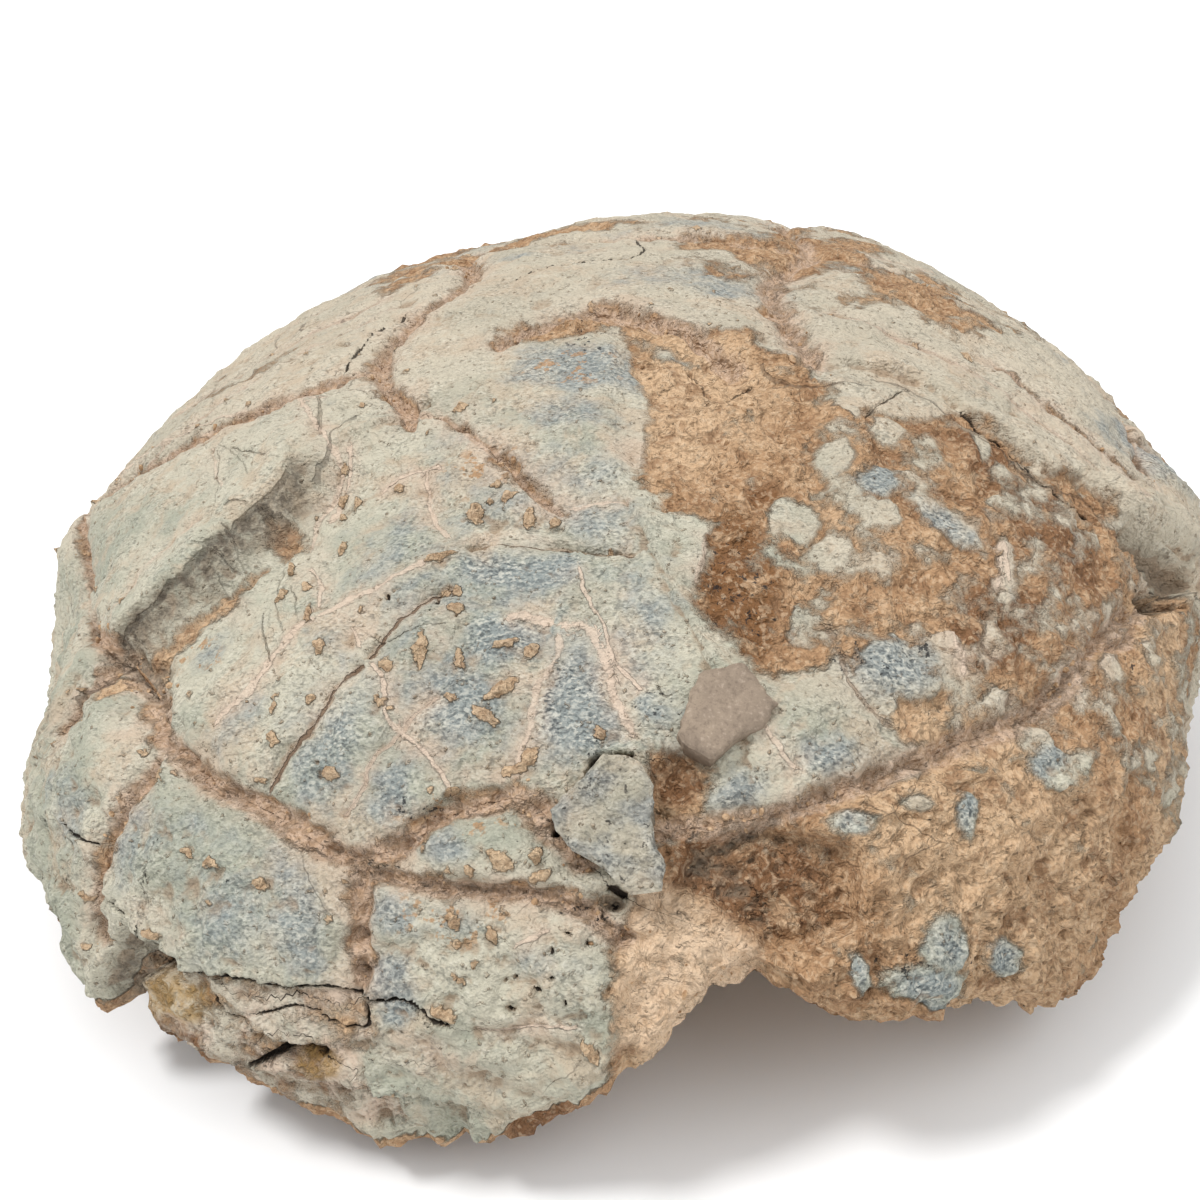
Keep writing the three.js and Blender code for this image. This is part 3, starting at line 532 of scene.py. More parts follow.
def relief(angle, fraction):
    """How far the surface stands out from the dome, in millimetres, and the marks that the
    material reads there."""
    # where each spot lies from the lines
    flat = to_flat(angle, fraction)
    point = dome_point(angle, fraction)
    spots = ragged(flat)
    groove, _, (groove_width, groove_depth), _ = SCUTE_GROOVES.measure(spots)
    suture, suture_side, (width, stands, pale), ends = SUTURES.measure(spots)
    crack, crack_side, (crack_width, crack_depth), crack_ends = CRACKS.measure(spots)
    step, side, (rise, fade), step_ends = STEPS.measure(flat + 0.5 * (spots - flat))
    fold, fold_side, (fold_depth, edge_off, front, wall), fold_ends = FOLDS.measure(spots)
    fold *= fold_side
    crack_width = crack_width * (1 + 0.45 * rough(flat, 6, 2, 47))
    sediment = sediment_depth(spots, groove, groove_width)
    on_bone = smoothstep(0.8, -0.8, sediment)
    suture += 5 * smoothstep(2.5, 0, ends)
    crack += 3 * smoothstep(1.5, 0, crack_ends)

    # grooves, folds, areas, lumps and hollows
    groove_width = groove_width * (1 + 0.4 * rough(flat, 9, 2, 25))
    height = waves(point, 0.7) - groove_depth * bell(groove, groove_width) - 1.1 * bell(groove, 9)
    height += 0.75 * rough(flat, 3, 3, 26) * bell(groove, 1.4 * groove_width)
    edge_off = edge_off + (0.3 + 0.12 * wall) * rough(flat, 9, 4, 24)
    face = smoothstep(edge_off + 0.2, edge_off - wall, fold) ** 0.55
    fold_ends = smoothstep(0, 12, fold_ends)
    height -= fold_depth * fold_ends * face * (0.25 + 0.75 * smoothstep(-front, 1, fold))
    height += 0.35 * rough(flat, 4, 2, 45) * face * smoothstep(-1, 1, fold)
    height += 0.9 * bell(fold - edge_off - 2, 4) * smoothstep(edge_off - 1, edge_off + 1, fold)
    for outline, high, edge in AREAS:
        height += high * smoothstep(-edge, edge, depth_inside(outline, spots))
    for x, y, radius, high in LUMPS:
        height += high * bell(np.hypot(flat[:, 0] - x, flat[:, 1] - y), radius)
    height = np.maximum(height, DEEPEST)

    # sutures, steps and cracks
    strength = 0.75 + 0.45 * rough(flat, 5, 2, 6)
    height += (stands * strength * bell(suture, width + 0.3) - 0.4 * bell(suture, 4)) * on_bone
    height += rise * smoothstep(0, 4, step_ends) * smoothstep(-0.35, 0.35, step * side) \
        * np.exp(-step / fade)
    height -= crack_depth * smoothstep(1.1, 0.4, crack / crack_width)

    # the skin of the bone, and the grit of the sediment
    skin = smoothstep(0.10, 0.16, rough(flat, 13, 4, 7)) + smoothstep(-0.3, -0.25, rough(flat, 9, 4, 8))
    bone = (0.22 * skin + 0.36 * rough(flat, 7, 3, 9) + 0.2 * rough(flat, 3, 2, 10)) \
        * (1 + 0.6 * smoothstep(0.72, 0.8, fraction))
    chunky = 0.35 - np.abs(rough(flat, 3.4, 3, 22))
    rocky = smoothstep(-118, -132, flat[:, 1]) * smoothstep(16, 24, flat[:, 0])
    grit = 0.7 * rough(flat, 6, 3, 14) + 0.4 * rough(flat, 2.2, 3, 15) - 0.15
    rocky *= 1 - 0.85 * smoothstep(-1.5, 1.5, depth_inside(LIGHT_FACE, flat))
    grit += (0.35 + 0.75 * rocky) * chunky + 0.6 * rocky * rough(flat, 11, 2, 23)
    height += on_bone * bone + (1 - on_bone) * grit

    # crusts, pits, the painted shadow line under the top edge of a fold, and the bed of the loose flake;
    # the pits and the hole are painted black as shade
    bumpy = flat + 0.35 * np.stack([rough(flat, 1.6, 2, 17), rough(flat, 1.6, 2, 18)], -1)
    stuck = in_patches(CRUSTS, bumpy)
    grown = smoothstep(1.5, 2.3, rough(flat, 3.2, 4, 16) + 0.25 * bell(suture, 2.5)
                       + 0.5 * bell(groove, 7) + 0.3 * smoothstep(-0.2, 0.6, rough(flat, 21, 2, 28)))
    crust = np.maximum(np.minimum(1.6 * stuck, 1), grown) * on_bone
    height += (0.95 * crust + 0.35 * rough(flat, 1.1, 2, 30) * smoothstep(0, 0.3, crust)) * on_bone
    # where the painted shadow line under the top edge of a fold runs
    top_edge = (fold - edge_off + 0.4) / 0.4 + 9 * (fold_ends < 0.9) + 9 * (wall < 2) \
        + 2 * smoothstep(-0.1, 0.4, rough(flat, 11, 2, 46))
    shadow_line_under_edge = np.abs(top_edge) < crack / crack_width
    pit = smoothstep(0.35, 1, in_patches(PITS, bumpy))
    pit = np.maximum(pit, smoothstep(-1, 2, depth_inside(SHADOWED_HOLE, flat)))
    height -= 0.9 * smoothstep(0, 0.5, pit)
    under_flake = depth_inside(FLAKE, flat)
    bed = np.minimum(height, -1.6 - smoothstep(-0.5, 0.5, under_flake))
    height = np.where(under_flake > -0.5, bed, height)

    # what the material reads
    near_line = np.maximum(0.8 * pale * bell(suture, 2.2), 0.8 * bell(groove, 4))
    warm_film = smoothstep(0, 0.7, in_patches(PINKISH, spots))
    in_cavity = np.maximum(0.8 * smoothstep(-1.5, 2, depth_inside(CAVITY, spots)),
                           smoothstep(-0.5, 1, depth_inside(BROKEN_FACE, spots)))
    on_face = fold_ends * smoothstep(1, 3, wall) * smoothstep(edge_off, edge_off - 0.12 * wall, fold) \
        * smoothstep(-1, 0.5 * edge_off, fold) \
        * (0.45 + 0.75 * smoothstep(edge_off - 0.8 * wall, edge_off - 0.25 * wall, fold))
    marked_blue = np.maximum(in_zones(BLUE_ZONES, spots), 1.3 * in_patches(BLUE_SPOTS, spots))
    marked_blue += 0.12 * rough(flat, 16, 3, 27)
    blue = np.where(flat[:, 1] < -5, marked_blue, 0.2 + 0.3 * rough(flat, 25, 3, 19))
    marks = {
        "sediment": sediment,
        "blue": blue - 0.35 * near_line - 0.25 * warm_film,
        "suture": suture / width,
        "suture_side": suture * suture_side / width,
        "pale": pale,
        "slot": smoothstep(-0.4, -1, stands),
        "haze": np.maximum(0.8 * near_line, np.maximum(
            0.5 * warm_film, 0.9 * smoothstep(-0.5, 1, depth_inside(LOWER_LAYER, spots)))),
        "pale_face_and_light": smoothstep(-1, 3, depth_inside(LIGHT_FACE, spots)),
        "speck": smoothstep(0, 0.7, in_patches(SPECKLED, spots)),
        "yellow": smoothstep(0, 0.5, in_patches(YELLOW, spots)),
        "crumbs": np.maximum(0.3 * smoothstep(0, 2, sediment), bell(groove, groove_width))
        * smoothstep(-0.3, 0.6, rough(flat, 14, 2, 29)),
        # brown-grey grime with painted shade: on the broken faces of the folds, in the cavity, on the
        # broken face by the void and in the deepest hollows
        "grime_and_shade": np.maximum(on_face, np.maximum(smoothstep(-5.5, -7.5, height), in_cavity)),
        "dusty": np.maximum(smoothstep(-85, -30, flat[:, 1]),
                            smoothstep(30, 42, flat[:, 0]) * smoothstep(-122, -112, flat[:, 1])),
        "rust": smoothstep(0, 0.6, in_patches(RUSTY, spots)),
        "crust": crust,
        # the crack marks also carry painted shade: black in the pits and the hole, and a dark shadow line
        # under the top edge of a fold
        "crack": np.where(shadow_line_under_edge, np.abs(top_edge), np.minimum(crack / crack_width, 1.3 - 1.3 * pit)),
        "open": np.where(pit > 0, 1, np.where(shadow_line_under_edge, 0.45, smoothstep(0, 1, crack_depth))),
        "crack_side": np.where(shadow_line_under_edge, top_edge,
                               np.where(pit > 0, 1.3 - 1.3 * pit, crack * crack_side / crack_width)),
        "groove": groove / groove_width,
        "ochre": in_patches(OCHRE, spots),
        "tone": smoothstep(0, 0.5, in_patches(PALE_SEDIMENT, spots))
        - smoothstep(0, 0.5, in_patches(DARK_SEDIMENT, spots)),
    }
    return height, marks


# -- the seam with the marginal plates, along the middle of the groove above them
seam_spots = np.concatenate([smooth_line(LEFT_MARGIN), smooth_line(RIGHT_MARGIN),
                             ring(*range(-36, 230, 4))])
seam_angles, seam_fractions = from_flat(seam_spots)
seam_order = np.argsort(seam_angles)
seam_angles, seam_fractions = seam_angles[seam_order], seam_fractions[seam_order]


def seam(angle):
    """Fraction of the meridian at which the dome ends and the marginal plates begin."""
    return np.interp(angle, seam_angles, seam_fractions, period=2 * np.pi)


# -- mesh: sheets of nearly equal triangles, made finer where the surface has fine marks
class Sheets:
    """Two round sheets of triangles, upper and under, joined along their rim, and along the hole in
    their middle if they have one. A vertex is a place u, v on a disc of radius 1."""

    def __init__(self, rings, hole=0):
        place, side, edge, triangles = [], [], [], []
        shared = {}

        def add_ring(k, upper):
            key = {rings: "rim", hole: "hole"}.get(k) if k else None
            if key in shared:
                return shared[key]
            turns = np.pi * np.arange(max(6 * k, 1)) / (3 * max(k, 1))
            start = len(place)
            place.extend(np.stack([np.cos(turns), np.sin(turns)], -1) * k / rings)
            side.extend([0 if key else upper] * len(turns))
            edge.extend([{"rim": 1, "hole": 2, None: 0}[key]] * len(turns))
            row = np.arange(start, len(place))
            if key:
                shared[key] = row
            return row

        for upper in (1, -1):
            rows = {k: add_ring(k, upper) for k in range(hole, rings + 1)}
            for k in range(hole, rings):
                inner, outer = rows[k], rows[k + 1]
                for sector in range(6):
                    for i in range(k + 1):
                        here = inner[(sector * k + i) % len(inner)]
                        after = inner[(sector * k + i + 1) % len(inner)]
                        below = outer[sector * (k + 1) + i]
                        below_after = outer[(sector * (k + 1) + i + 1) % len(outer)]
                        triangles.append((here, below, below_after)[::upper])
                        if i < k:
                            triangles.append((here, below_after, after)[::upper])
        self.hole_radius = hole / rings
        self.place, self.side, self.edge = np.array(place), np.array(side), np.array(edge)
        self.triangles = np.array(triangles)

    def refine(self, position, wanted, passes):
        """Cuts the triangles whose edges are longer than wanted, always across their longest edge
        first, so that they stay well shaped and fit their neighbours."""
        where = position(self.place, self.side, self.edge)
        goal = wanted(self.place, self.side, self.edge)
        for _ in range(passes):
            corners = self.triangles
            pairs = np.stack([corners, np.roll(corners, -1, axis=1)], -1)
            pairs.sort(axis=-1)
            edges, owner = np.unique(pairs.reshape(-1, 2), axis=0, return_inverse=True)
            owner = owner.reshape(-1, 3)
            length = np.linalg.norm(where[edges[:, 0]] - where[edges[:, 1]], axis=1)
            cut = length > goal[edges].mean(axis=1)
            longest = length[owner].argmax(axis=1)
            own_longest = owner[np.arange(len(owner)), longest]
            while True:
                need = cut[owner].any(axis=1) & ~cut[own_longest]
                if not need.any():
                    break
                cut[own_longest[need]] = True
            if not cut.any():
                break
            first, second = edges[cut].T
            middle = (self.place[first] + self.place[second]) / 2
            kind = np.where(self.edge[first] == self.edge[second], self.edge[first], 0)
            radius = np.select([kind == 1, kind == 2], [1.0, self.hole_radius], 0.0)
            on_edge = kind > 0
            middle[on_edge] *= (radius[on_edge] / np.hypot(*middle[on_edge].T))[:, None]
            side = np.where(on_edge, 0, np.where(self.side[first], self.side[first], self.side[second]))
            new = np.full(len(edges), -1)
            new[cut] = len(self.place) + np.arange(cut.sum())
            self.place = np.concatenate([self.place, middle])
            self.side = np.concatenate([self.side, side])
            self.edge = np.concatenate([self.edge, kind])
            where = np.concatenate([where, position(middle, side, kind)])
            goal = np.concatenate([goal, wanted(middle, side, kind)])
            turn = (longest[:, None] + np.arange(3)) % 3
            a, b, c = np.take_along_axis(corners, turn, axis=1).T
            ab, bc, ca = new[np.take_along_axis(owner, turn, axis=1)].T
            whole, has_bc, has_ca = ab < 0, bc >= 0, ca >= 0
            halves = ~whole
            parts = [np.stack([a, b, c], -1)[whole],
                     np.stack([a, ab, c], -1)[halves & ~has_ca],
                     np.stack([a, ab, ca], -1)[halves & has_ca],
                     np.stack([ca, ab, c], -1)[halves & has_ca],
                     np.stack([ab, b, c], -1)[halves & ~has_bc],
                     np.stack([ab, b, bc], -1)[halves & has_bc],
                     np.stack([ab, bc, c], -1)[halves & has_bc]]
            self.triangles = np.concatenate(parts)


def add_object(name, data):
    item = bpy.data.objects.new(name, data)
    bpy.context.scene.collection.objects.link(item)
    return item


def make_object(name, points, sheets, marks, flat):
    """A smooth-shaded mesh in metres, sharp along the rim of its sheets, with its marks as
    attributes and the flat map as its UV."""
    triangles = sheets.triangles
    points = (points - (*MIDDLE_OF_OUTLINE, 0)) / 1000
    mesh = bpy.data.meshes.new(name)
    mesh.vertices.add(len(points))
    mesh.vertices.foreach_set("co", points.ravel())
    mesh.loops.add(triangles.size)
    mesh.loops.foreach_set("vertex_index", triangles.ravel().astype(np.int32))
    mesh.polygons.add(len(triangles))
    mesh.polygons.foreach_set("loop_start", np.arange(0, triangles.size, 3, dtype=np.int32))
    mesh.update(calc_edges=True)
    for mark, values in marks.items():
        layer = mesh.attributes.new(mark, "FLOAT", "POINT")
        layer.data.foreach_set("value", np.asarray(values, np.float32))
    uv = mesh.uv_layers.new(name="flat_map")
    uv.data.foreach_set("uv", (flat[triangles.ravel()] / 1000).ravel().astype(np.float32))
    mesh.shade_smooth()
    ends = np.empty(2 * len(mesh.edges), np.int32)
    mesh.edges.foreach_get("vertices", ends)
    kinds = sheets.edge[ends.reshape(-1, 2)]
    sharp = mesh.attributes.new("sharp_edge", "BOOLEAN", "EDGE")
    sharp.data.foreach_set("value", (kinds > 0).all(axis=1))
    return add_object(name, mesh)


def hollowness(height, triangles, rounds=7):
    """How far each vertex lies below its surroundings, in millimetres."""
    pairs = np.concatenate([triangles[:, [0, 1]], triangles[:, [1, 2]], triangles[:, [2, 0]]])
    count = np.bincount(pairs[:, 0], minlength=len(height))
    smooth = height
    for _ in range(rounds):
        smooth = np.bincount(pairs[:, 0], smooth[pairs[:, 1]], minlength=len(height)) / count
    return smooth - height


def finest_edge(spots):
    """Longest edge wanted at a spot of the upper surface."""
    moved = ragged(spots)
    plain = 1.15 + 1.25 * smoothstep(-75, 0, moved[:, 1])
    crack, _, (crack_width, _), _ = CRACKS.measure(moved)
    suture = SUTURES.measure(moved)[0]
    step = STEPS.measure(moved)[0]
    fine = np.minimum(0.5 + 0.9 * np.maximum(crack - 0.4, 0), 0.85 + 0.6 * np.maximum(suture - 0.8, 0))
    fine = np.minimum(fine, 0.6 + 0.8 * np.maximum(step - 0.5, 0))
    small = np.maximum(in_patches(CRUSTS, spots), in_patches(PITS, spots))
    fine = np.minimum(fine, np.where(small > 0, 0.5, 9))
    fold, fold_side, (_, edge_off, _, _), _ = FOLDS.measure(moved)
    fine = np.minimum(fine, 0.65 + 0.5 * np.maximum(fold - 1.5, 0))
    fine = np.minimum(fine, 0.6 + 0.6 * np.maximum(np.abs(fold * fold_side - edge_off) - 1.3, 0))
    return np.minimum(plain, fine * (1 + 1.2 * smoothstep(-60, 0, moved[:, 1])))


BONE_THICKNESS = 7


def shell_spot(place):
    """Angle and fraction of a place on the round sheet of the dome."""
    angle = np.arctan2(place[:, 1], place[:, 0])
    return angle, np.hypot(*place.T) * seam(angle)


def shell_position(place, side, edge):
    angle, fraction = shell_spot(place)
    point = dome_point(angle, fraction)
    return point - outward(angle, fraction) * BONE_THICKNESS * (side < 0)[:, None]


def shell_wanted(place, side, edge):
    angle, fraction = shell_spot(place)
    return np.where(side < 0, 1.2 + 60 * (1 - np.hypot(*place.T)), finest_edge(to_flat(angle, fraction)))


dome = Sheets(rings=16)
dome.refine(shell_position, shell_wanted, passes=9)
angle, fraction = shell_spot(dome.place)
height, marks = relief(angle, fraction)
deep = np.where(dome.side < 0, -BONE_THICKNESS, height)
points = dome_point(angle, fraction) + outward(angle, fraction) * deep[:, None]
marks["hollow"] = hollowness(height, dome.triangles)
upper_shell = make_object("upper_shell", points, dome, marks, to_flat(angle, fraction))


# -- its finish, with a few short helpers that build nodes
def put(tree, kind, sockets=None, **settings):
    """Adds a node. Each socket takes a value, or the output of another node."""
    item = tree.nodes.new(kind if "Node" in kind else "ShaderNode" + kind)
    for name, value in settings.items():
        setattr(item, name, value)
    for name, value in (sockets or {}).items():
        if isinstance(value, bpy.types.NodeSocket):
            tree.links.new(value, item.inputs[name])
        else:
            item.inputs[name].default_value = value
    return item


def paint(code):
    """A colour from its six-digit code, as Blender wants it."""
    parts = [int(code[i:i + 2], 16) / 255 for i in (0, 2, 4)]
    return (*[part / 12.92 if part < 0.04 else ((part + 0.055) / 1.055) ** 2.4 for part in parts], 1)


def clouds(tree, place, per_metre, detail=3, roughness=0.55, distortion=0.0):
    """Noise round 0.5, with so many clouds to a metre."""
    sockets = {"Vector": place, "Scale": per_metre, "Detail": detail, "Roughness": roughness,
               "Distortion": distortion}
    return put(tree, "TexNoise", sockets).outputs["Fac"]


def between(tree, value, low, high, start=0.0, end=1.0):
    """start below low, end above high, smooth in between."""
    sockets = {"Value": value, "From Min": low, "From Max": high, "To Min": start, "To Max": end}
    return put(tree, "MapRange", sockets, interpolation_type="SMOOTHSTEP").outputs["Result"]


def calc(tree, operation, *values):
    """A sum on values or on the outputs of nodes."""
    return put(tree, "Math", dict(enumerate(values)), operation=operation).outputs[0]


def over(tree, share, below, above):
    """One colour over another by a share from 0 to 1."""
    return put(tree, "Mix", {0: share, 6: below, 7: above}, data_type="RGBA").outputs[2]


def new_group(name, inputs, outputs, kind_of_tree="ShaderNodeTree"):
    """A node group with named inputs and outputs: its tree, what comes in and what goes out."""
    tree = bpy.data.node_groups.new(name, kind_of_tree)
    for in_out, sockets in (("INPUT", inputs), ("OUTPUT", outputs)):
        for socket, kind in sockets.items():
            tree.interface.new_socket(socket, in_out=in_out, socket_type="NodeSocket" + kind)
    return tree, tree.nodes.new("NodeGroupInput").outputs, tree.nodes.new("NodeGroupOutput").inputs


def new_finish(name):
    """A material, with its tree and its shader."""
    finish = bpy.data.materials.new(name)
    finish.use_nodes = True
    return finish, finish.node_tree, finish.node_tree.nodes["Principled BSDF"]


def connect(tree, shader, colour, roughness, specular, height, depth):
    """Connects what a finish is made of to its shader. Depth is that of its bumps, in metres."""
    tree.links.new(colour, shader.inputs["Base Color"])
    tree.links.new(roughness, shader.inputs["Roughness"])
    shader.inputs["Specular IOR Level"].default_value = specular
    bump = put(tree, "Bump", {"Height": height, "Distance": depth, "Strength": 1.0})
    tree.links.new(bump.outputs[0], shader.inputs["Normal"])


# Fossil bone: pale greenish cream, clouded with blue-grey, with a fine grain of dark and light flecks that
# is densest in the blue-grey. The flecks follow the same grain as the bumps: the dark ones are painted
# shade in its low points and the light ones are painted highlight on its high points.
bone_group, given, wanted = new_group(
    "fossil_bone", {"Place": "Vector", "Blue": "Float", "Haze": "Float",
                    "Dusty": "Float", "Pale": "Color", "Green": "Color", "Blue grey": "Color",
                    "Warm": "Color", "Dust": "Color", "Haze colour": "Color", "Pores and grain shade": "Color"},
    {"Color": "Color", "Height": "Float"})
tree = bone_group
slant = put(tree, "Mapping", {"Vector": given["Place"], "Rotation": (0.3, 0.2, 0.75),
                              "Scale": (1, 1.6, 1.2)}).outputs[0]
fibres = clouds(tree, slant, 1200, 1.5, 0.7)
lumps = clouds(tree, given["Place"], 240, 3, 0.55, 0.3)
grain = put(tree, "TexVoronoi", {"Vector": slant, "Scale": 1800.0}).outputs["Color"]
broad = clouds(tree, given["Place"], 40, 4, 0.65)
patchy = clouds(tree, given["Place"], 130, 4, 0.72, 0.3)
stain = clouds(tree, given["Place"], 75, 4, 0.7, 0.4)
base = over(tree, between(tree, broad, 0.40, 0.58), given["Green"], given["Pale"])
base = over(tree, calc(tree, "MULTIPLY", given["Dusty"], 0.6), base, given["Dust"])
base = over(tree, between(tree, stain, 0.48, 0.62, 0, 0.6), base, given["Warm"])
blue = calc(tree, "MULTIPLY_ADD", patchy, 3.0, calc(tree, "MULTIPLY_ADD", given["Blue"], 1.5, -2.25))
blue = between(tree, blue, -0.6, 0.8)
base = over(tree, calc(tree, "MULTIPLY", blue, 0.85), base, given["Blue grey"])
haze = calc(tree, "MULTIPLY", given["Haze"], between(tree, stain, 0.38, 0.58, 0.3, 0.95))
base = over(tree, haze, base, given["Haze colour"])
micro = calc(tree, "MULTIPLY_ADD", fibres, 0.75, calc(tree, "MULTIPLY", grain, 0.25))
strong = calc(tree, "MULTIPLY_ADD", blue, 0.44, between(tree, patchy, 0.40, 0.58, 0.38, 0.04))
# painted shade in the low points of the grain and painted highlight on its high points, strongest in the
# blue-grey
grain_shade = calc(tree, "MULTIPLY", between(tree, micro, 0.48, 0.36), strong)
base = over(tree, grain_shade, base, given["Pores and grain shade"])
grain_highlight = calc(tree, "MULTIPLY", between(tree, micro, 0.51, 0.62), strong)
base = over(tree, calc(tree, "MULTIPLY", grain_highlight, 0.7), base, paint("dcd7c8"))
tree.links.new(base, wanted["Color"])
height = calc(tree, "MULTIPLY_ADD", lumps, 2.2, calc(tree, "MULTIPLY", micro, 0.65))
tree.links.new(height, wanted["Height"])

# Hardened sediment: fine sandy grains in tan, darker and lighter in clouds, with dark specks. The clouds
# and grains that show darker and lighter are the same ones that make its bumps, so these tones are partly
# real and partly painted shade in the low places and painted highlight on the high ones.
sediment_group, given, wanted = new_group(
    "hard_sediment", {"Place": "Vector", "Orange": "Float", "Tone": "Float", "Tan": "Color",
                      "Light tan": "Color", "Dark brown": "Color", "Orange brown": "Color"},
    {"Color": "Color", "Height": "Float"})
tree = sediment_group
broad = clouds(tree, given["Place"], 45, 4, 0.68, 0.3)
patchy = clouds(tree, given["Place"], 190, 4, 0.65, 0.4)
lumps = clouds(tree, given["Place"], 300, 3, 0.6, 0.6)
grains = put(tree, "TexVoronoi", {"Vector": given["Place"], "Scale": 1500.0}).outputs["Color"]
sandy = clouds(tree, given["Place"], 850, 1.5, 0.7)
specks = clouds(tree, given["Place"], 520, 3, 0.75)
tone = calc(tree, "MULTIPLY_ADD", broad, 2.6, calc(tree, "MULTIPLY_ADD", given["Tone"], 0.8, -1.4))
base = over(tree, between(tree, tone, -0.1, 0.8), given["Tan"], given["Light tan"])
base = over(tree, between(tree, tone, -0.1, -1.0), base, given["Dark brown"])
orange = calc(tree, "MULTIPLY_ADD", patchy, 2.2, calc(tree, "MULTIPLY_ADD", given["Orange"], 1.5, -1.5))
base = over(tree, between(tree, orange, 0.0, 0.6, 0, 0.9), base, given["Orange brown"])
# lighter on the high clouds and darker in the low ones: partly real tone, partly painted highlight and
# painted shade
base = over(tree, between(tree, patchy, 0.50, 0.62, 0, 0.55), base, given["Light tan"])
base = over(tree, between(tree, patchy, 0.48, 0.36, 0, 0.6), base, given["Dark brown"])
sand = calc(tree, "MULTIPLY_ADD", sandy, 0.75, calc(tree, "MULTIPLY", grains, 0.25))
# darker grains in the low points of the sand and lighter ones on its high points: painted shade and painted
# highlight
base = over(tree, between(tree, sand, 0.48, 0.36, 0, 0.38), base, paint("5f452d"))
base = over(tree, between(tree, sand, 0.52, 0.64, 0, 0.32), base, paint("dac1a2"))
base = over(tree, between(tree, specks, 0.72, 0.77, 0, 0.7), base, paint("28221e"))
tree.links.new(base, wanted["Color"])
height = calc(tree, "MULTIPLY_ADD", patchy, 2.5, calc(tree, "MULTIPLY", sand, 0.7))
height = calc(tree, "MULTIPLY_ADD", lumps, 2.6, height)
tree.links.new(height, wanted["Height"])


def thin_line(tree, far, side):
    """Distance to a line, exact even between the vertices on its two sides."""
    return calc(tree, "MAXIMUM", calc(tree, "ABSOLUTE", side), calc(tree, "SUBTRACT", far, 0.9))


# The finish of the whole stone, which reads the marks that the relief left on the mesh: bone, the stains
# and lines on it, then the sediment over it, and last the dirt and the cracks. Painted shade darkens its
# hollows, deep holes and broken faces, and painted highlight and shade follow the grain of bone and
# sediment.
BONE_COLOURS = {"Pale": paint("bbb5a2"), "Green": paint("a1a190"), "Blue grey": paint("848b8b"),
                "Warm": paint("b9a48c"), "Dust": paint("c2b39e"), "Haze colour": paint("c6af9b"),
                "Pores and grain shade": paint("424749")}
SEDIMENT_COLOURS = {"Tan": paint("ab8765"), "Light tan": paint("c5a583"), "Dark brown": paint("815d40"),
                    "Orange brown": paint("795230")}
DIRT_AND_SHADE_IN_HOLLOWS, RUST = paint("947a61"), paint("ac835b")
OLIVE_STAIN, PEACH_AND_PAINTED_LIGHT = paint("a78653"), paint("dabfa2")
SUTURE_FILM, SUTURE_SLOT, CRACK_AND_SHADE_BLACK = paint("d1bba7"), paint("68513d"), paint("2a221c")
CRUST_DARK, CRUST_PALE = paint("aa8968"), paint("cbad8b")
GROOVE_DARK, GROOVE_PALE, GROOVE_BOTTOM = paint("ab8f76"), paint("cab09a"), paint("836953")
GRIME_AND_SHADE_DARK, GRIME_AND_SHADE_PALE, MINERAL_SPECK = paint("655c50"), paint("857a6a"), paint("242528")
stone, tree, shader = new_finish("fossil_stone")
coordinates = put(tree, "TexCoord").outputs
here = coordinates["Object"]
mark = {name: put(tree, "Attribute", attribute_name=name).outputs["Fac"]
        for name in marks if name != "crumbs"}
bone = put(tree, "Group", {
    "Place": here, "Blue": mark["blue"], "Haze": mark["haze"], "Dusty": mark["dusty"], **BONE_COLOURS},
    node_tree=bone_group).outputs
sandy = put(tree, "Group", {
    "Place": here, "Orange": calc(tree, "MULTIPLY", mark["ochre"], 1.45), "Tone": mark["tone"],
    **SEDIMENT_COLOURS}, node_tree=sediment_group).outputs
edge_noise = clouds(tree, here, 420, 4, 0.7)
fine_noise = clouds(tree, here, 900, 2, 0.6)
swing = calc(tree, "SUBTRACT", edge_noise, 0.5)

# dirt and painted shade in the hollows, rust, sutures and crusts on the bone
colour = bone["Color"]
# darker in the hollows of the relief: partly dirt, partly painted shade
low = calc(tree, "MULTIPLY_ADD", swing, 0.5, mark["hollow"])
colour = over(tree, between(tree, low, 0.10, 0.55, 0, 0.6), colour, DIRT_AND_SHADE_IN_HOLLOWS)
rust = calc(tree, "MULTIPLY", between(tree, clouds(tree, here, 330, 3, 0.72), 0.55, 0.62), mark["rust"])
colour = over(tree, calc(tree, "MULTIPLY", rust, 0.75), colour, RUST)
suture = thin_line(tree, mark["suture"], mark["suture_side"])
suture = calc(tree, "MULTIPLY_ADD", swing, 2.6, suture)
pale_line = calc(tree, "MULTIPLY", between(tree, suture, 0.95, 0.4), mark["pale"])
colour = over(tree, calc(tree, "MULTIPLY", pale_line, 0.7), colour, SUTURE_FILM)
dark_line = calc(tree, "MULTIPLY", between(tree, suture, 0.62, 0.2), mark["slot"])
colour = over(tree, calc(tree, "MULTIPLY", dark_line, 0.85), colour, SUTURE_SLOT)
crust = calc(tree, "MULTIPLY_ADD", calc(tree, "SUBTRACT", fine_noise, 0.5), 0.8, mark["crust"])
crust = between(tree, crust, 0.08, 0.32)
crust_colour = over(tree, between(tree, fine_noise, 0.38, 0.6), CRUST_DARK, CRUST_PALE)
colour = over(tree, calc(tree, "MULTIPLY", crust, 0.85), colour, crust_colour)

# sediment over it, with its stains and the painted light on the pale face by the notch, and what fills the
# grooves
covered = calc(tree, "MULTIPLY_ADD", swing, 4.0, mark["sediment"])
covered = between(tree, covered, -0.9, 1.0)
colour = over(tree, covered, colour, sandy["Color"])
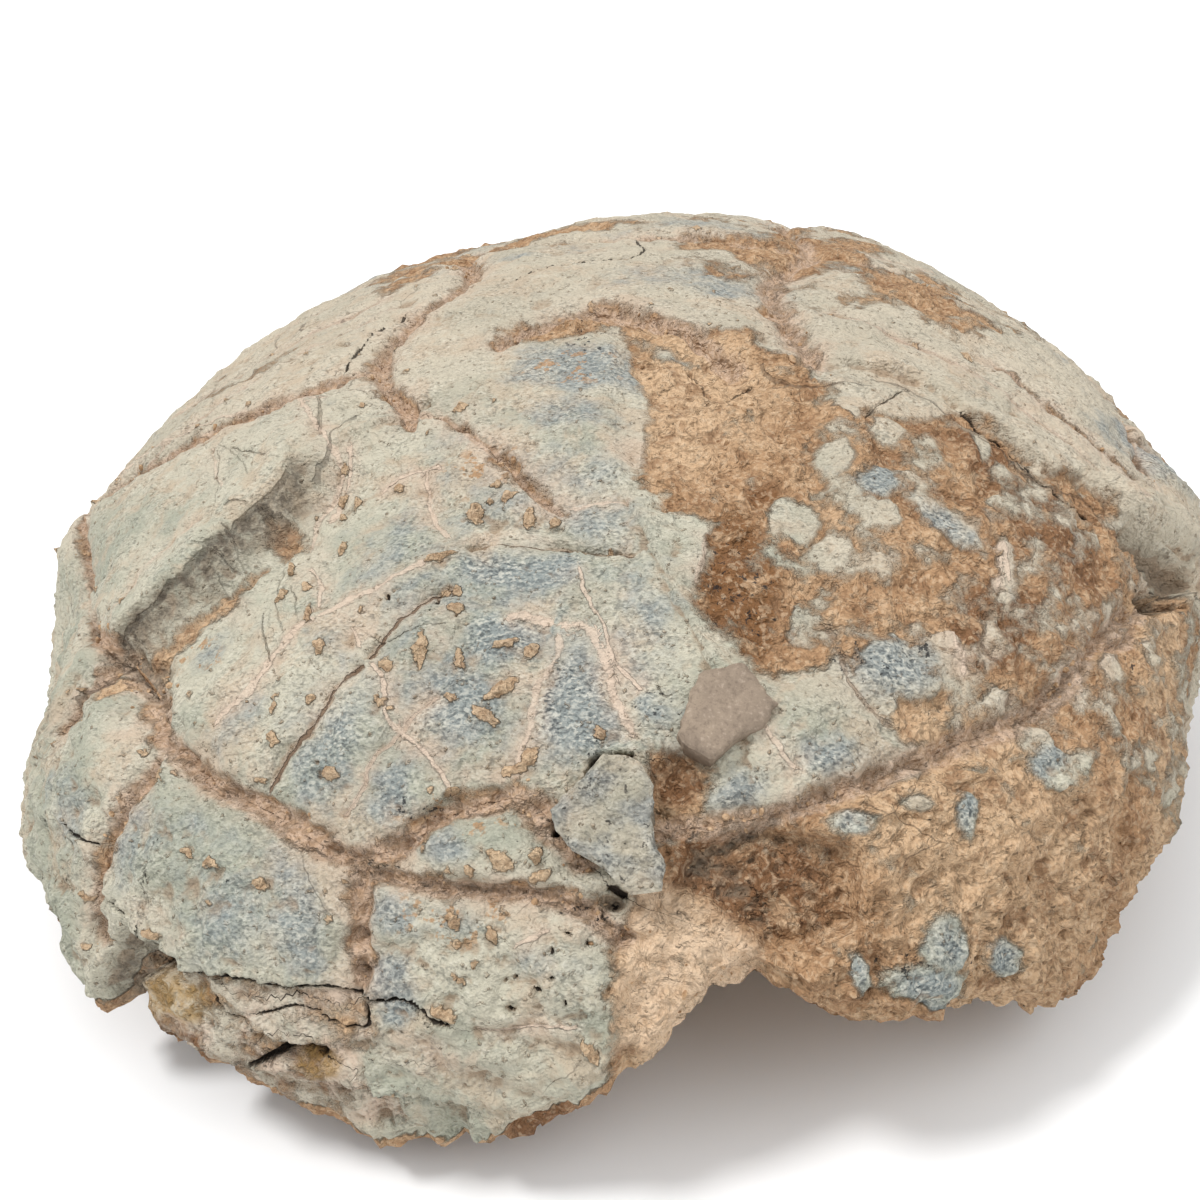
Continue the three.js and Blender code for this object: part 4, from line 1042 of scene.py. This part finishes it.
# the pale face beside the notch: a light peach sediment colour, made lighter still as painted light
pale_face_and_light = calc(tree, "MULTIPLY", mark["pale_face_and_light"], between(tree, edge_noise, 0.35, 0.6, 0.4, 0.85))
colour = over(tree, pale_face_and_light, colour, PEACH_AND_PAINTED_LIGHT)
yellow = calc(tree, "MULTIPLY", mark["yellow"], between(tree, edge_noise, 0.35, 0.6, 0.25, 0.85))
colour = over(tree, yellow, colour, OLIVE_STAIN)
fill = calc(tree, "MULTIPLY_ADD", swing, 0.9, mark["groove"])
fill_colour = over(tree, between(tree, fine_noise, 0.38, 0.6), GROOVE_DARK, GROOVE_PALE)
colour = over(tree, between(tree, fill, 1.1, 0.5, 0, 0.75), colour, fill_colour)
colour = over(tree, between(tree, fill, 0.3, -0.1, 0, 0.22), colour, GROOVE_BOTTOM)

# specks, grime with painted shade, and cracks with painted shade in the pits, the hole and under fold
# edges, over all of it
specks = calc(tree, "MULTIPLY_ADD", mark["speck"], 0.14, clouds(tree, here, 620, 3, 0.75))
colour = over(tree, between(tree, specks, 0.72, 0.77, 0, 0.85), colour, MINERAL_SPECK)
# grime and painted shade on the fold faces, the cavity, the broken face and the deepest hollows
grime_and_shade = calc(tree, "MULTIPLY", mark["grime_and_shade"], between(tree, edge_noise, 0.35, 0.6, 0.35, 0.85))
grime_and_shade_colour = over(tree, between(tree, fine_noise, 0.4, 0.6), GRIME_AND_SHADE_DARK, GRIME_AND_SHADE_PALE)
colour = over(tree, grime_and_shade, colour, grime_and_shade_colour)
# cracks, with painted shade: black in the pits and the hole, and a shadow line under the top edges of folds
crack = thin_line(tree, mark["crack"], mark["crack_side"])
crack_or_shade = calc(tree, "MULTIPLY", between(tree, crack, 1.0, 0.5, 0, 0.95), mark["open"])
wander = put(tree, "TexNoise", {"Vector": coordinates["UV"], "Scale": 90.0, "Detail": 4.0}).outputs["Color"]
wander = over(tree, 0.006, (0, 0, 0, 1), wander)
net_place = put(tree, "VectorMath", {0: coordinates["UV"], 1: wander}, operation="ADD").outputs[0]
net = put(tree, "TexVoronoi", {"Vector": net_place, "Scale": 46.0}, feature="DISTANCE_TO_EDGE").outputs[0]
hairline = calc(tree, "MULTIPLY", between(tree, net, 0.007, 0.002),
                between(tree, clouds(tree, here, 30, 2, 0.5), 0.60, 0.68))
any_crack_or_shade = calc(tree, "MAXIMUM", crack_or_shade, calc(tree, "MULTIPLY", hairline, 0.5))
colour = over(tree, any_crack_or_shade, colour, CRACK_AND_SHADE_BLACK)

# grain and fine relief
height = calc(tree, "ADD", calc(tree, "MULTIPLY", bone["Height"], calc(tree, "SUBTRACT", 1.0, covered)),
              calc(tree, "MULTIPLY", sandy["Height"], covered))
height = calc(tree, "MULTIPLY_ADD", pale_line, 0.3, height)
height = calc(tree, "MULTIPLY_ADD", crust, calc(tree, "MULTIPLY", fine_noise, 1.5), height)
height = calc(tree, "MULTIPLY_ADD", dark_line, -0.6, height)
height = calc(tree, "MULTIPLY_ADD", crack_or_shade, -0.7, height)
connect(tree, shader, colour, between(tree, fine_noise, 0.3, 0.7, 0.8, 0.97), 0.25, height, 0.001)


def belongs_to_fossil(piece):
    """Ties a piece to the one body that the whole fossil is."""
    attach(piece, "root")
    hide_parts("fossil_shell")


upper_shell.data.materials.append(stone)
belongs_to_fossil(upper_shell)

# ==== Marginal plates ====
# The row of plates round the rim, which turns in underneath. Its edge is broken off in places, most of
# all at the near right, where the sediment behind it shows. It is one stone with the dome above it.

# -- the broken rim: angle in degrees, share of the meridian left
BROKEN_RIM = [
    (-180, 1), (-165, 0.985), (-150, 1), (-138, 0.985), (-127, 0.965), (-123, 0.95), (-120.5, 0.922),
    (-120, 0.95), (-117.8, 0.925), (-117.2, 0.95), (-116.8, 0.985), (-116.3, 0.997), (-114.6, 1),
    (-113.1, 0.98), (-112.2, 0.947), (-111, 0.92), (-109.9, 0.885), (-109.3, 0.89), (-108.9, 0.955),
    (-108.2, 0.985), (-107.4, 1), (-105, 1.01), (-101, 1.02), (-96, 1.03), (-91, 1.02),
    (-88, 0.995), (-85.5, 0.96), (-82.5, 0.935), (-80.5, 0.895), (-78, 0.85), (-76, 0.838),
    (-74, 0.855), (-72, 0.895), (-70, 0.912),
    (-66, 0.94), (-62.5, 0.965), (-59, 1.01), (-55, 1.04), (-52, 1.03), (-50.3, 0.985),
    (-47, 1), (-40, 1), (-30, 0.985), (-15, 1), (0, 0.99), (14, 1), (30, 0.975), (46, 1),
    (58, 0.965), (75, 0.99), (90, 1), (104, 0.96), (112, 0.99), (130, 1), (146, 0.975), (180, 1),
]


def rim_left(angle):
    """Fraction of the meridian at which the bone is broken off."""
    turns, left = np.array(BROKEN_RIM).T
    angle = (angle + np.pi) % (2 * np.pi) - np.pi
    around = np.stack([np.cos(angle), np.sin(angle)], -1)
    return np.interp(np.degrees(angle), turns, left) + 0.004 * rough(around, 0.09, 3, 3)


LIP_THICKNESS = 5.5
TUCKED_UNDER = 2  # this far the plates reach up under the edge of the dome
RINGS, HOLE_RINGS = 30, 18  # of the sheets that the row of plates is made of
HOLE = HOLE_RINGS / RINGS
UNDER_STEPS = 6  # from the rim inwards to where the plates end inside the stone


def along_margin(place):
    """Angle, and 0 at the top of the plates to 1 at the rim."""
    return np.arctan2(place[:, 1], place[:, 0]), (np.hypot(*place.T) - HOLE) / (1 - HOLE)


def margin_fraction(angle, down):
    """Fraction of the meridian from the hidden top of the plates to the rim."""
    top = seam(angle) - TUCKED_UNDER / meridian(angle)
    return top + (rim_left(angle) - top) * down


def on_steps(angle, reach, steps, along):
    """A point on a cross-section given as steps of share of the reach and height."""
    steps = np.array([[out + 0 * angle, high + 0 * angle] for out, high in steps])
    at = np.clip(along.astype(int), 0, len(steps) - 2)
    t = along - at
    each = np.arange(len(angle))
    out, high = steps[at, :, each].T * (1 - t) + steps[at + 1, :, each].T * t
    return np.stack([out * reach * np.cos(angle), out * reach * np.sin(angle), high], -1)


def underside(angle):
    """Reach of the rim and the steps of the underside from there to the middle of the belly. The
    sides run straight down to the belly, and both ends are hollowed."""
    edge = dome_point(angle, rim_left(angle))
    lip = edge[:, 2] - LIP_THICKNESS
    to_end = np.abs(np.sin(angle)) ** 1.5
    steps = [(1, edge[:, 2]), (0.985, lip), (0.93, lip - 1 + 1.5 * to_end),
             (0.85 + 0.02 * to_end, 14 + (lip - 11) * to_end),
             (0.75 - 0.02 * to_end, 8.5 + to_end), (0.52, 2.4), (0.26, -0.4), (0, -6)]
    return np.hypot(edge[:, 0], edge[:, 1]), steps


def margin_position(place, side, edge):
    angle, down = along_margin(place)
    upper = dome_point(angle, margin_fraction(angle, down))
    reach, steps = underside(angle)
    inner = dome_point(angle, seam(angle)) - BONE_THICKNESS * outward(angle, seam(angle))
    hidden = (np.hypot(inner[:, 0], inner[:, 1]) / reach, inner[:, 2])
    middle = (0.5 * (steps[3][0] + steps[4][0]), 0.5 * (steps[3][1] + steps[4][1]))
    section = steps[:4] + [middle, (middle[0], middle[1] + 8), hidden]
    under = on_steps(angle, reach, section, (1 - down) * UNDER_STEPS)
    return np.where((side < 0)[:, None], under, upper)


def margin_wanted(place, side, edge):
    angle, down = along_margin(place)
    above = finest_edge(to_flat(angle, margin_fraction(angle, down)))
    near = 1.1 + 0.9 * smoothstep(-60, 20, margin_position(place, side, edge)[:, 1])
    below = near * np.interp((1 - down) * UNDER_STEPS, [0, 1.2, 4, 4.6, UNDER_STEPS], [1, 1.3, 2, 5, 5])
    return np.where(side < 0, below, np.where(down < 0.05, 1.2, above))


def vertex_normals(points, triangles):
    a, b, c = points[triangles].transpose(1, 0, 2)
    face = np.cross(b - a, c - a)
    total = np.zeros_like(points)
    for k in range(3):
        np.add.at(total, triangles[:, k], face)
    return unit(total)


def under_relief(point):
    """Grooves between the plates of the lower shell, and the rough sediment round them."""
    x, y, _ = point.T
    across = [np.abs(y - at - 5 * np.cos(x / 16)) for at in (-88, -46, 34, 84)]
    groove = np.minimum(np.abs(x - 2.5 * np.sin(y / 19)), np.min(across, axis=0))
    groove = groove + 0.8 * rough(point, 6, 3, 31)
    height = waves(point, 1.1) - 2.2 * bell(groove, 3.1) * smoothstep(0, 1, point[:, 2])
    return height + 0.9 * rough(point, 9, 4, 32) + 0.3 * rough(point, 2, 3, 33), groove


margin = Sheets(RINGS, HOLE_RINGS)
margin.refine(margin_position, margin_wanted, passes=8)
angle, down = along_margin(margin.place)
fraction = margin_fraction(angle, down)
place = margin_position(margin.place, margin.side, margin.edge)
height, marks = relief(angle, fraction)
tucked = np.maximum(seam(angle) - fraction, 0) * meridian(angle)
upper_point = place + outward(angle, fraction) * (height - 0.04 * (tucked > 0) - 0.6 * tucked)[:, None]
rim_relief, rim_marks = relief(angle, rim_left(angle))
turned = (1 - down) * UNDER_STEPS
near_rim = 1 - smoothstep(1, 3, turned)
lift, _ = under_relief(place)
normal = vertex_normals(place, margin.triangles)
lift = lift * (1 - near_rim) + 0.7 * rough(place, 3, 4, 34) * smoothstep(0, 0.4, turned)
lift *= smoothstep(4.4, 4, turned)
under_point = place + normal * lift[:, None]
under_point += outward(angle, rim_left(angle)) * (rim_relief * near_rim)[:, None]
below = margin.side < 0
points = np.where(below[:, None], under_point, upper_point)
points[:, 2] = np.maximum(points[:, 2], 0)
covered = 3 * smoothstep(0.25, 0.7, turned + 0.25 * rough(place, 6, 3, 35))
marks["sediment"] = np.where(below, np.maximum(rim_marks["sediment"], -3 + 2 * covered), marks["sediment"])
for mark in marks:
    if mark != "sediment":
        marks[mark] = np.where(below, rim_marks[mark], marks[mark])
marks["hollow"] = np.where(below, 0, hollowness(height, margin.triangles))
marginal_plates = make_object("marginal_plates", points, margin, marks,
                              np.where(below[:, None], place[:, :2], to_flat(angle, fraction)))
marginal_plates.data.materials.append(stone)
belongs_to_fossil(marginal_plates)

# ==== Lower shell and sediment ====
# The flat lower shell with its pairs of plates, and the sandy sediment that fills the whole fossil
# behind it. It shows in the hollows at both ends and round the worn flat spot that the stone rests on.
JOIN = 0.84  # share of the reach where the lower shell meets the marginal plates
FLAT_SHARE = 0.9  # share of the hidden upper sheet that follows the dome, before it turns down
FILLED_TO = 0.66  # fraction of the meridian that it reaches there


def belly_position(place, side, edge):
    angle = np.arctan2(place[:, 1], place[:, 0])
    out = np.hypot(*place.T)
    reach, steps = underside(angle)
    outs = np.array([step[0] + 0 * angle for step in steps])
    share = JOIN * out
    along = np.zeros(len(angle))
    for k in range(len(steps) - 1):
        within = (share <= outs[k]) & (share >= outs[k + 1])
        along = np.where(within, k + (outs[k] - share) / (outs[k] - outs[k + 1]), along)
    under = on_steps(angle, reach, steps, along)
    inner = np.clip(out / FLAT_SHARE, 0, 1) * FILLED_TO
    top = dome_point(angle, inner) - (BONE_THICKNESS + 1.5) * outward(angle, inner)
    wall = np.clip((out - FLAT_SHARE) / (1 - FLAT_SHARE), 0, 1)[:, None]
    top = top * (1 - wall) + under * wall
    return np.where((side < 0)[:, None], under, top)


def belly_wanted(place, side, edge):
    point = belly_position(place, side, edge)
    groove = under_relief(point)[1]
    fine = np.minimum(1.5 + 0.1 * np.abs(groove), 2.2)
    return np.where(side > 0, 8, np.where(point[:, 2] < 0.2, 2.5, fine))


belly = Sheets(rings=16)
belly.refine(belly_position, belly_wanted, passes=8)
place = belly_position(belly.place, belly.side, belly.edge)
normal = vertex_normals(place, belly.triangles)
lift, groove = under_relief(place)
out = np.hypot(*belly.place.T)
sink = 2.5 * smoothstep(0.965, 1, out)
points = place + normal * np.where(belly.side > 0, 0, lift - sink)[:, None]
points[:, 2] = np.maximum(points[:, 2], 0)
zero = np.zeros(len(points))
marks = {mark: zero for mark in marks}
marks["sediment"] = (-1.5 + 3 * smoothstep(3, 0.5, np.abs(groove)) + 2.5 * rough(place, 22, 4, 36)
                     + 3 * smoothstep(0.75, 0.9, out))
marks.update(suture=zero + 9, suture_side=zero + 9, crack=zero + 9, crack_side=zero + 9,
             groove=np.abs(groove) / 2.5, tone=zero - 0.3, blue=0.3 * rough(place, 25, 3, 37))
lower_shell = make_object("lower_shell_and_sediment", points, belly, marks, place[:, :2])
lower_shell.data.materials.append(stone)
belongs_to_fossil(lower_shell)

# ==== Loose flake ====
# A piece of marginal bone that has broken free beside the notch and sits a little proud in its bed,
# with an open gap along two of its sides. It is stuck fast in the sediment under it.


def on_outline(outline, place):
    """A place on the round sheet, brought to the flat map so that the rim follows the outline."""
    outline = np.array(outline, float)
    middle = outline.mean(axis=0)
    corners = outline - middle
    after = np.roll(corners, -1, axis=0)
    along = np.linspace(0, 1, 24, endpoint=False)[:, None, None]
    edge = (corners + (after - corners) * along).reshape(-1, 2)
    turn = np.arctan2(edge[:, 1], edge[:, 0])
    order = np.argsort(turn)
    reach = np.interp(np.arctan2(place[:, 1], place[:, 0]), turn[order], np.hypot(*edge.T)[order],
                      period=2 * np.pi)
    return middle + place * reach[:, None]


def make_slab(name, outline, top, bottom, edge_length, round_off, roughness, fill):
    """A flat broken piece that lies on the dome: its outline on the flat map, the height of its top
    and bottom above the dome, and the marks of its finish."""
    sheet = Sheets(rings=6)

    def position(place, side, edge):
        spots = on_outline(outline, place)
        angle, fraction = from_flat(spots)
        out = np.hypot(*place.T)
        high = top(spots) - round_off * smoothstep(0.86, 1, out)
        high = np.where(side > 0, high, np.where(side < 0, bottom, high - 0.15))
        return dome_point(angle, fraction) + outward(angle, fraction) * high[:, None]

    def wanted(place, side, edge):
        return np.where(side < 0, 2, edge_length)

    sheet.refine(position, wanted, passes=8)
    spots = on_outline(outline, sheet.place)
    angle, fraction = from_flat(spots)
    points = position(sheet.place, sheet.side, sheet.edge)
    uneven = roughness * (rough(points, 3.5, 3, 41) + 0.5 * rough(points, 1.2, 3, 42))
    ragged_edge = 0.35 * rough(points, 1.5, 3, 43) * smoothstep(0.7, 1, np.hypot(*sheet.place.T))
    points += outward(angle, fraction) * np.where(sheet.side < 0, 0, uneven)[:, None]
    points += unit(sheet.place + 1e-9)[:, :1] * np.array([1, 0, 0]) * ragged_edge[:, None]
    _, marks = relief(angle, fraction)
    for mark in marks:
        marks[mark] = fill.get(mark, 0) + 0 * marks[mark]
    marks["blue"] = 0.5 * rough(spots, 5, 3, 44) + 0.4
    marks["hollow"] = 0 * marks["blue"]
    return make_object(name, points, sheet, marks, spots)


# the marks of a piece with no sediment on it and no line near it, a little dusty and specked
clean = {"sediment": -5, "suture": 9, "suture_side": 9, "crack": 9, "crack_side": 9, "groove": 9,
         "dusty": 0.5, "haze": 0.2, "speck": 0.7, "grime_and_shade": 0.3}
loose_flake = make_slab("loose_flake", FLAKE, top=lambda spots: 1.3 + 0.06 * (spots[:, 0] - 17),
                        bottom=-4, edge_length=0.8, round_off=0.6, roughness=0.5, fill=clean)
loose_flake.data.materials.append(stone)
belongs_to_fossil(loose_flake)

# ==== Smooth chip ====
# A mauve-grey chip of the inner bone, smooth as a pebble. It came from deeper in a plate, and lies
# flat on the sediment above the notch, stuck fast to it.
CHIP = [(25, -116), (26, -113), (31, -111), (36, -117), (35, -121), (32, -123), (29, -127), (25, -125),
        (24, -123)]
smooth_chip = make_slab("smooth_chip", CHIP, top=lambda spots: 2 + 0 * spots[:, 0],
                        bottom=-4, edge_length=0.9, round_off=0.6, roughness=0.16, fill=clean)

# The chip: an even mauve-grey, with a fine woolly grain. Its paler clouds and flecks sit on the high points
# of its bumps and its dark pores in the low ones, as painted highlight and painted shade.
CHIP_DARK, CHIP_PALE = paint("8b7b6b"), paint("998876")
CHIP_PORES_AND_SHADE, CHIP_FLECKS_AND_HIGHLIGHT = paint("65564a"), paint("bfad9c")
chip_stone, tree, shader = new_finish("chip_bone")
here = put(tree, "TexCoord").outputs["Object"]
wool = clouds(tree, here, 1100, 4, 0.75)
cloud = clouds(tree, here, 160, 4, 0.6)
colour = over(tree, between(tree, cloud, 0.4, 0.65), CHIP_DARK, CHIP_PALE)
colour = over(tree, between(tree, wool, 0.5, 0.35, 0, 0.45), colour, CHIP_PORES_AND_SHADE)
colour = over(tree, between(tree, wool, 0.54, 0.68, 0, 0.45), colour, CHIP_FLECKS_AND_HIGHLIGHT)
height = calc(tree, "ADD", wool, calc(tree, "MULTIPLY", cloud, 2.0))
connect(tree, shader, colour, between(tree, wool, 0.3, 0.7, 0.75, 0.9), 0.3, height, 0.0002)
smooth_chip.data.materials.append(chip_stone)
belongs_to_fossil(smooth_chip)

# ==== Crumbs ====
# Grains and crumbs of the same sand as the sediment. They cling to it and lie in the grooves between
# the plates, half sunk in it and stuck fast.
crumb_bed = bpy.data.meshes.new("crumb_bed")
corners, faces, share = [], [], []
for piece in (upper_shell, marginal_plates):
    mesh = piece.data
    start = sum(len(part) for part in corners)
    place = np.empty(3 * len(mesh.vertices), np.float32)
    mesh.vertices.foreach_get("co", place)
    corners.append(place.reshape(-1, 3))
    loops = np.empty(len(mesh.loops), np.int32)
    mesh.loops.foreach_get("vertex_index", loops)
    faces.append(loops.reshape(-1, 3) + start)
    values = np.empty(len(mesh.vertices), np.float32)
    mesh.attributes["crumbs"].data.foreach_get("value", values)
    share.append(values)
corners, faces, share = (np.concatenate(parts) for parts in (corners, faces, share))
crumb_bed.from_pydata(corners, [], faces[share[faces].min(axis=1) > 0.02].tolist())
crumb_bed.attributes.new("crumbs", "FLOAT", "POINT").data.foreach_set("value", share)
crumb_source = add_object("crumb_source", crumb_bed)

crumb_nodes, given, wanted = new_group(
    "scattered_crumbs", {"Bed": "Geometry", "Crumbs per square metre": "Float", "Smallest": "Float",
                         "Largest": "Float", "Seed": "Int", "Finish": "Material"},
    {"Crumbs": "Geometry"}, "GeometryNodeTree")
tree = crumb_nodes
share_there = put(tree, "GeometryNodeInputNamedAttribute", {"Name": "crumbs"}, data_type="FLOAT")
density = calc(tree, "MULTIPLY", share_there.outputs[0], given["Crumbs per square metre"])
spread = put(tree, "GeometryNodeDistributePointsOnFaces",
             {"Mesh": given["Bed"], "Density": density, "Seed": given["Seed"]}).outputs[0]
grain_shape = put(tree, "GeometryNodeMeshIcoSphere", {"Radius": 1.0, "Subdivisions": 1}).outputs[0]
turned = put(tree, "FunctionNodeRandomValue", {"Max": (6.28, 6.28, 6.28)},
             data_type="FLOAT_VECTOR").outputs[0]
uneven = put(tree, "FunctionNodeRandomValue", {"Min": (0.5, 0.5, 0.3), "Max": (1.2, 1, 0.7)},
             data_type="FLOAT_VECTOR").outputs[0]
luck = put(tree, "FunctionNodeRandomValue", {"Seed": 7}, data_type="FLOAT").outputs[1]
size = put(tree, "MapRange", {"Value": calc(tree, "POWER", luck, 3.0), "To Min": given["Smallest"],
                              "To Max": given["Largest"]}).outputs[0]
scale = put(tree, "VectorMath", {0: uneven, "Scale": size}, operation="SCALE").outputs[0]
placed = put(tree, "GeometryNodeInstanceOnPoints", {"Points": spread, "Instance": grain_shape,
                                                    "Rotation": turned, "Scale": scale}).outputs[0]
real = put(tree, "GeometryNodeRealizeInstances", {"Geometry": placed}).outputs[0]
finished = put(tree, "GeometryNodeSetMaterial", {"Geometry": real, "Material": given["Finish"]})
tree.links.new(finished.outputs[0], wanted["Crumbs"])

# The crumbs: the same sand, and the mesh that the nodes above make of them.
CRUMB_COLOURS = {"Tan": paint("ab8a69"), "Light tan": paint("c5a787"), "Dark brown": paint("836144"),
                 "Orange brown": paint("7c5029")}
crumb_sand, tree, shader = new_finish("crumb_sand")
sandy = put(tree, "Group", {
    "Place": put(tree, "TexCoord").outputs["Object"], "Orange": 0.1, "Tone": 0.4, **CRUMB_COLOURS},
    node_tree=sediment_group).outputs
connect(tree, shader, sandy["Color"], between(tree, sandy["Height"], 0.8, 1.6, 0.85, 0.97), 0.25,
        sandy["Height"], 0.0003)

scatter = crumb_source.modifiers.new("scatter", "NODES")
scatter.node_group = crumb_nodes
for name, value in (("Crumbs per square metre", 180000.0), ("Smallest", 0.00025), ("Largest", 0.001),
                    ("Seed", 4), ("Finish", crumb_sand)):
    scatter[crumb_nodes.interface.items_tree[name].identifier] = value
bpy.context.view_layer.update()
made = crumb_source.evaluated_get(bpy.context.evaluated_depsgraph_get())
crumbs = add_object("crumbs", bpy.data.meshes.new_from_object(made))
bpy.data.objects.remove(crumb_source)
belongs_to_fossil(crumbs)

# ==== Table, light and camera ====
# A pale table top under soft studio light: white all round, a broad lamp overhead, a narrow one from
# the upper left and a weaker one from the right. The camera looks at the near end from above.
table = bpy.data.meshes.new("table")
table.from_pydata([(-6, -6, 0), (6, -6, 0), (6, 9, 0), (-6, 9, 0)], [], [(0, 1, 2, 3)])
floor = add_object("table", table)
white, tree, shader = new_finish("white_table")
TABLE_WHITE = (0.9, 0.9, 0.9, 1)
shader.inputs["Base Color"].default_value = TABLE_WHITE
shader.inputs["Roughness"].default_value = 0.8
table.materials.append(white)

STUDIO_WHITE, STUDIO_STRENGTH = (0.94, 0.975, 1, 1), 0.58
world = bpy.data.worlds.new("studio")
world.use_nodes = True
world.node_tree.nodes["Background"].inputs["Color"].default_value = STUDIO_WHITE
world.node_tree.nodes["Background"].inputs["Strength"].default_value = STUDIO_STRENGTH
bpy.context.scene.world = world
LAMPS = [  # name, strength, width in degrees, where its light goes
    ("overhead", 0.92, 90, (0.05, 0, -1)), ("window", 1.8, 12, (0.46, 0.16, -1)),
    ("fill", 0.7, 40, (-0.7, 0.35, -1))]
for name, strength, width, aim in LAMPS:
    lamp_data = bpy.data.lights.new(name, "SUN")
    lamp_data.energy = strength
    lamp_data.angle = math.radians(width)
    lamp = add_object(name, lamp_data)
    lamp.rotation_euler = Vector(aim).to_track_quat("-Z", "Y").to_euler()

CAMERA_AT = Vector((0.0440, -0.2710, 0.1617))
AZIMUTH, ELEVATION, ROLL = math.radians(9.3), math.radians(27.1), math.radians(-3.2)
back = Vector((math.sin(AZIMUTH) * math.cos(ELEVATION), -math.cos(AZIMUTH) * math.cos(ELEVATION),
               math.sin(ELEVATION)))
camera_data = bpy.data.cameras.new("camera")
camera_data.lens = 38.34
camera_data.shift_x, camera_data.shift_y = -0.0313, -0.0308
camera_data.clip_start = 0.01
camera = add_object("camera", camera_data)
camera.rotation_mode = "QUATERNION"
camera.location = CAMERA_AT
camera.rotation_quaternion = back.to_track_quat("Z", "Y") @ Quaternion((0, 0, 1), ROLL)
bpy.context.scene.camera = camera
bpy.context.scene.view_settings.view_transform = "Standard"
